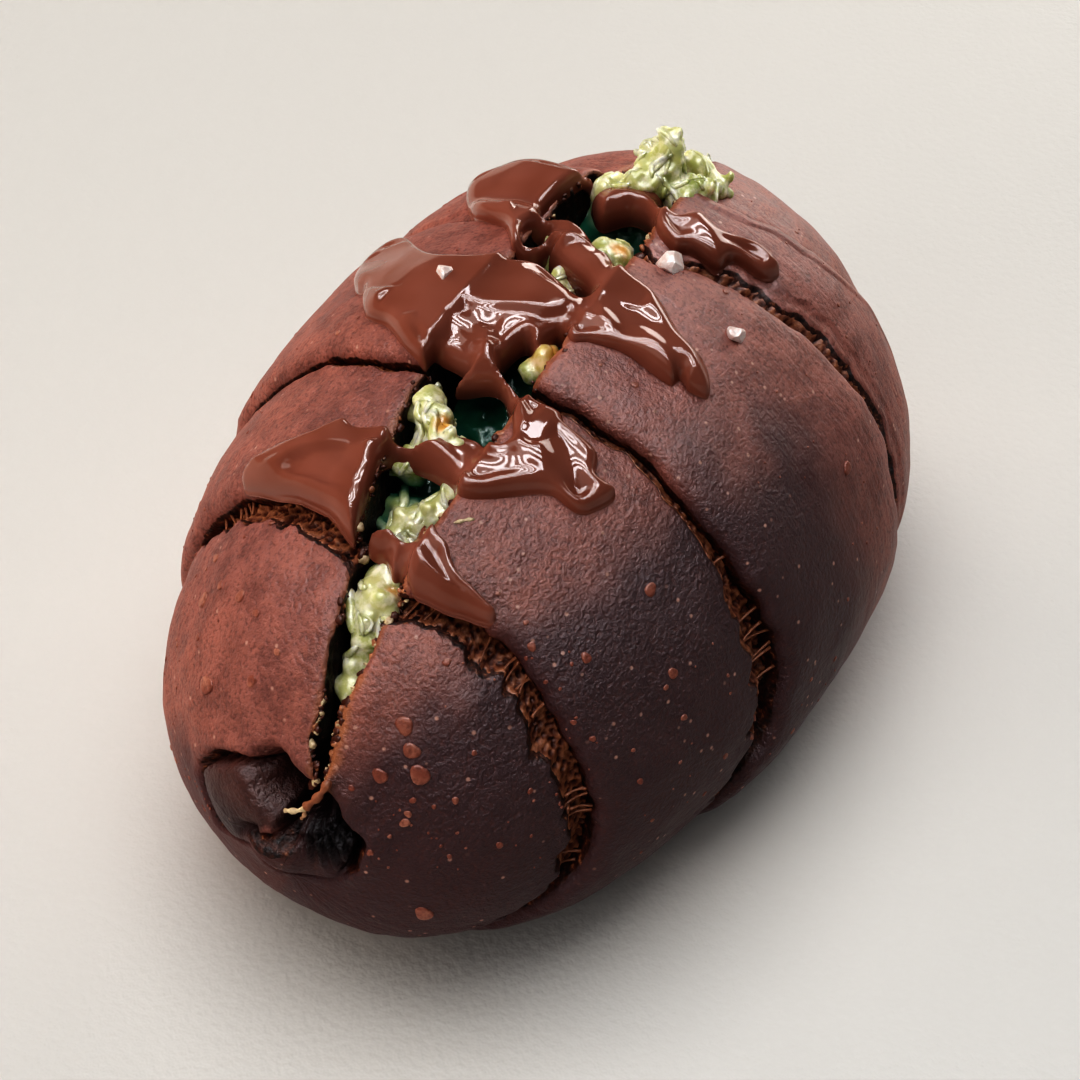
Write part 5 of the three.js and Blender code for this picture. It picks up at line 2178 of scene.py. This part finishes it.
@dataclass
class Studio:
    """Floor, soft daylight and the camera at the photograph's viewing angle."""

    # the view fitted to the photograph, in degrees and millimetres
    azimuth: float = -59.794
    elevation: float = 46.071
    roll: float = -1.357
    distance: float = 257.6
    target: tuple = (-1.831, -1.021, 23.958)
    lens: float = 70.0
    sensor: float = 36.0
    # half the floor's width in metres
    floor_reach: float = 2.0

    def camera(self) -> None:
        """Sets up the camera at the view fitted to the photograph."""
        az, el, roll = (math.radians(v) for v in (self.azimuth, self.elevation, self.roll))
        back = Vector((math.sin(az) * math.cos(el), -math.cos(az) * math.cos(el), math.sin(el)))
        side = (-back).cross(Vector((0, 0, 1))).normalized()
        over = side.cross(-back)
        right = side * math.cos(roll) + over * math.sin(roll)
        upward = over * math.cos(roll) - side * math.sin(roll)
        data = bpy.data.cameras.new("camera")
        data.sensor_width, data.lens = self.sensor, self.lens
        data.clip_start, data.clip_end = 0.01, 10.0
        camera = placed_object("camera", data)
        place = (Vector(self.target) - Vector(BOX_CENTRE) + back * self.distance) * MM
        turn = Matrix((right, upward, back)).transposed().to_4x4()
        camera.matrix_world = Matrix.Translation(place) @ turn
        bpy.context.scene.camera = camera

    def panel(self, name: str, toward: tuple, away: float, size: tuple, power: float, tint: tuple,
              across: float = 0.0) -> Piece:
        """Adds a rectangular lamp that faces the roll.

        Args:
            name: what it stands for.
            toward: direction from the roll to it.
            away: its distance in metres.
            size: its width and height in metres.
            power: its power in watts.
            tint: its colour.
            across: how far it is shifted sideways in metres.

        Returns:
            The lamp.
        """
        data = bpy.data.lights.new(name, "AREA")
        data.shape, data.size, data.size_y = "RECTANGLE", *size
        data.energy, data.color = power, tint
        lamp = placed_object(name, data)
        place = Vector(toward).normalized() * away
        turn = place.to_track_quat("Z", "Y").to_matrix().to_4x4()
        lamp.matrix_world = Matrix.Translation(place) @ turn @ Matrix.Translation((across, 0.0, 0.0))
        return lamp

    def lights(self) -> None:
        """Lights the room.

        Low windows stand all round but on the right, a soft skylight is above, and narrow strips up
        there show in the sauce's gloss alone.
        """
        self.panel("far_window", (0.97, -0.05, 0.22), 2.6, (2.0, 1.0), 25.0, (1.0, 0.97, 0.92))
        left = self.panel("left_window", (0.05, 0.98, 0.25), 2.6, (2.0, 1.0), 28.0, (1.0, 0.90, 0.80))
        near = self.panel("near_window", (-0.9, 0.3, 0.2), 2.4, (1.6, 1.0), 15.0, (1.0, 0.94, 0.88))
        for window in (left, near):
            window.visible_glossy = False
        self.panel("near_skylight", (-0.55, -0.1, 0.8), 2.2, (1.4, 1.4), 5.0, (1.0, 0.98, 0.96))
        self.panel("skylight", (0.05, 0.1, 1.0), 1.8, (1.6, 1.6), 15.0, (1.0, 0.99, 0.97))
        overhead, strip_size = (0.08, -0.12, 1.0), (0.11, 0.95)
        for column in (-2, -1, 0, 1, 2):
            strip = self.panel("roof_light", overhead, 1.1, strip_size, 4.4, (0.94, 0.96, 1.0), column * 0.23)
            strip.visible_diffuse = False
        world = bpy.data.worlds.new("room")
        world.use_nodes = True
        background = world.node_tree.nodes["Background"].inputs
        background[0].default_value = linear("#93bbd8")
        background[1].default_value = 0.07
        bpy.context.scene.world = world
        view = bpy.context.scene.view_settings
        view.view_transform, view.look = "Standard", "Very High Contrast"

    def floor(self, finish: Material) -> None:
        """Lays the pale floor.

        Args:
            finish: its material.
        """
        mesh = bpy.data.meshes.new("floor")
        signs = ((-1, -1), (1, -1), (1, 1), (-1, 1))
        corners = [(x * self.floor_reach, y * self.floor_reach, 0) for x, y in signs]
        mesh.from_pydata(corners, [], [(0, 1, 2, 3)])
        mesh.materials.append(finish)
        ground = placed_object("floor", mesh)


def install(piece: Piece) -> None:
    """Makes a piece part of the roll and reports it.

    Args:
        piece: the new piece.
    """
    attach(piece, BODY)
    mesh = piece.data
    mesh.calc_loop_triangles()
    LOG.info("%s: %d triangles", piece.name, len(mesh.loop_triangles))


def main() -> None:
    """Builds the roll, its filling and its toppings, and the room around them."""
    logging.basicConfig(level=logging.INFO, format="%(name)s: %(message)s")
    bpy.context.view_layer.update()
    studio = Studio()
    studio.camera()
    studio.lights()
    studio.floor(FloorFinish().build())

    crust = Crust().make(CrustFinish().build())
    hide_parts("bread")
    install(crust)
    install(Blisters().make(crust, BlisterFinish().build()))
    torn = CrumbFinish().build()
    install(SeamCrumb().make(torn))
    install(TornEdge().make(torn))

    cream, threads = Filling().make(PistachioFinish().build())
    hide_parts("filling")
    install(cream)
    install(threads)

    chocolate = SauceFinish().build()
    levels = CrustMap()
    main_sauce = Sauce("sauce_sheet", "chocolate_sauce", levels, MAIN_SAUCE, (SAUCE_HOLE,), POOLS)
    front_sauce = Sauce("sauce_drip_front", "chocolate_sauce_front", levels, FRONT_SAUCE)
    install(main_sauce.make(chocolate))
    install(front_sauce.make(chocolate))
    install(Salt().make(SaltFinish().build()))


if __name__ == "__main__":
    main()
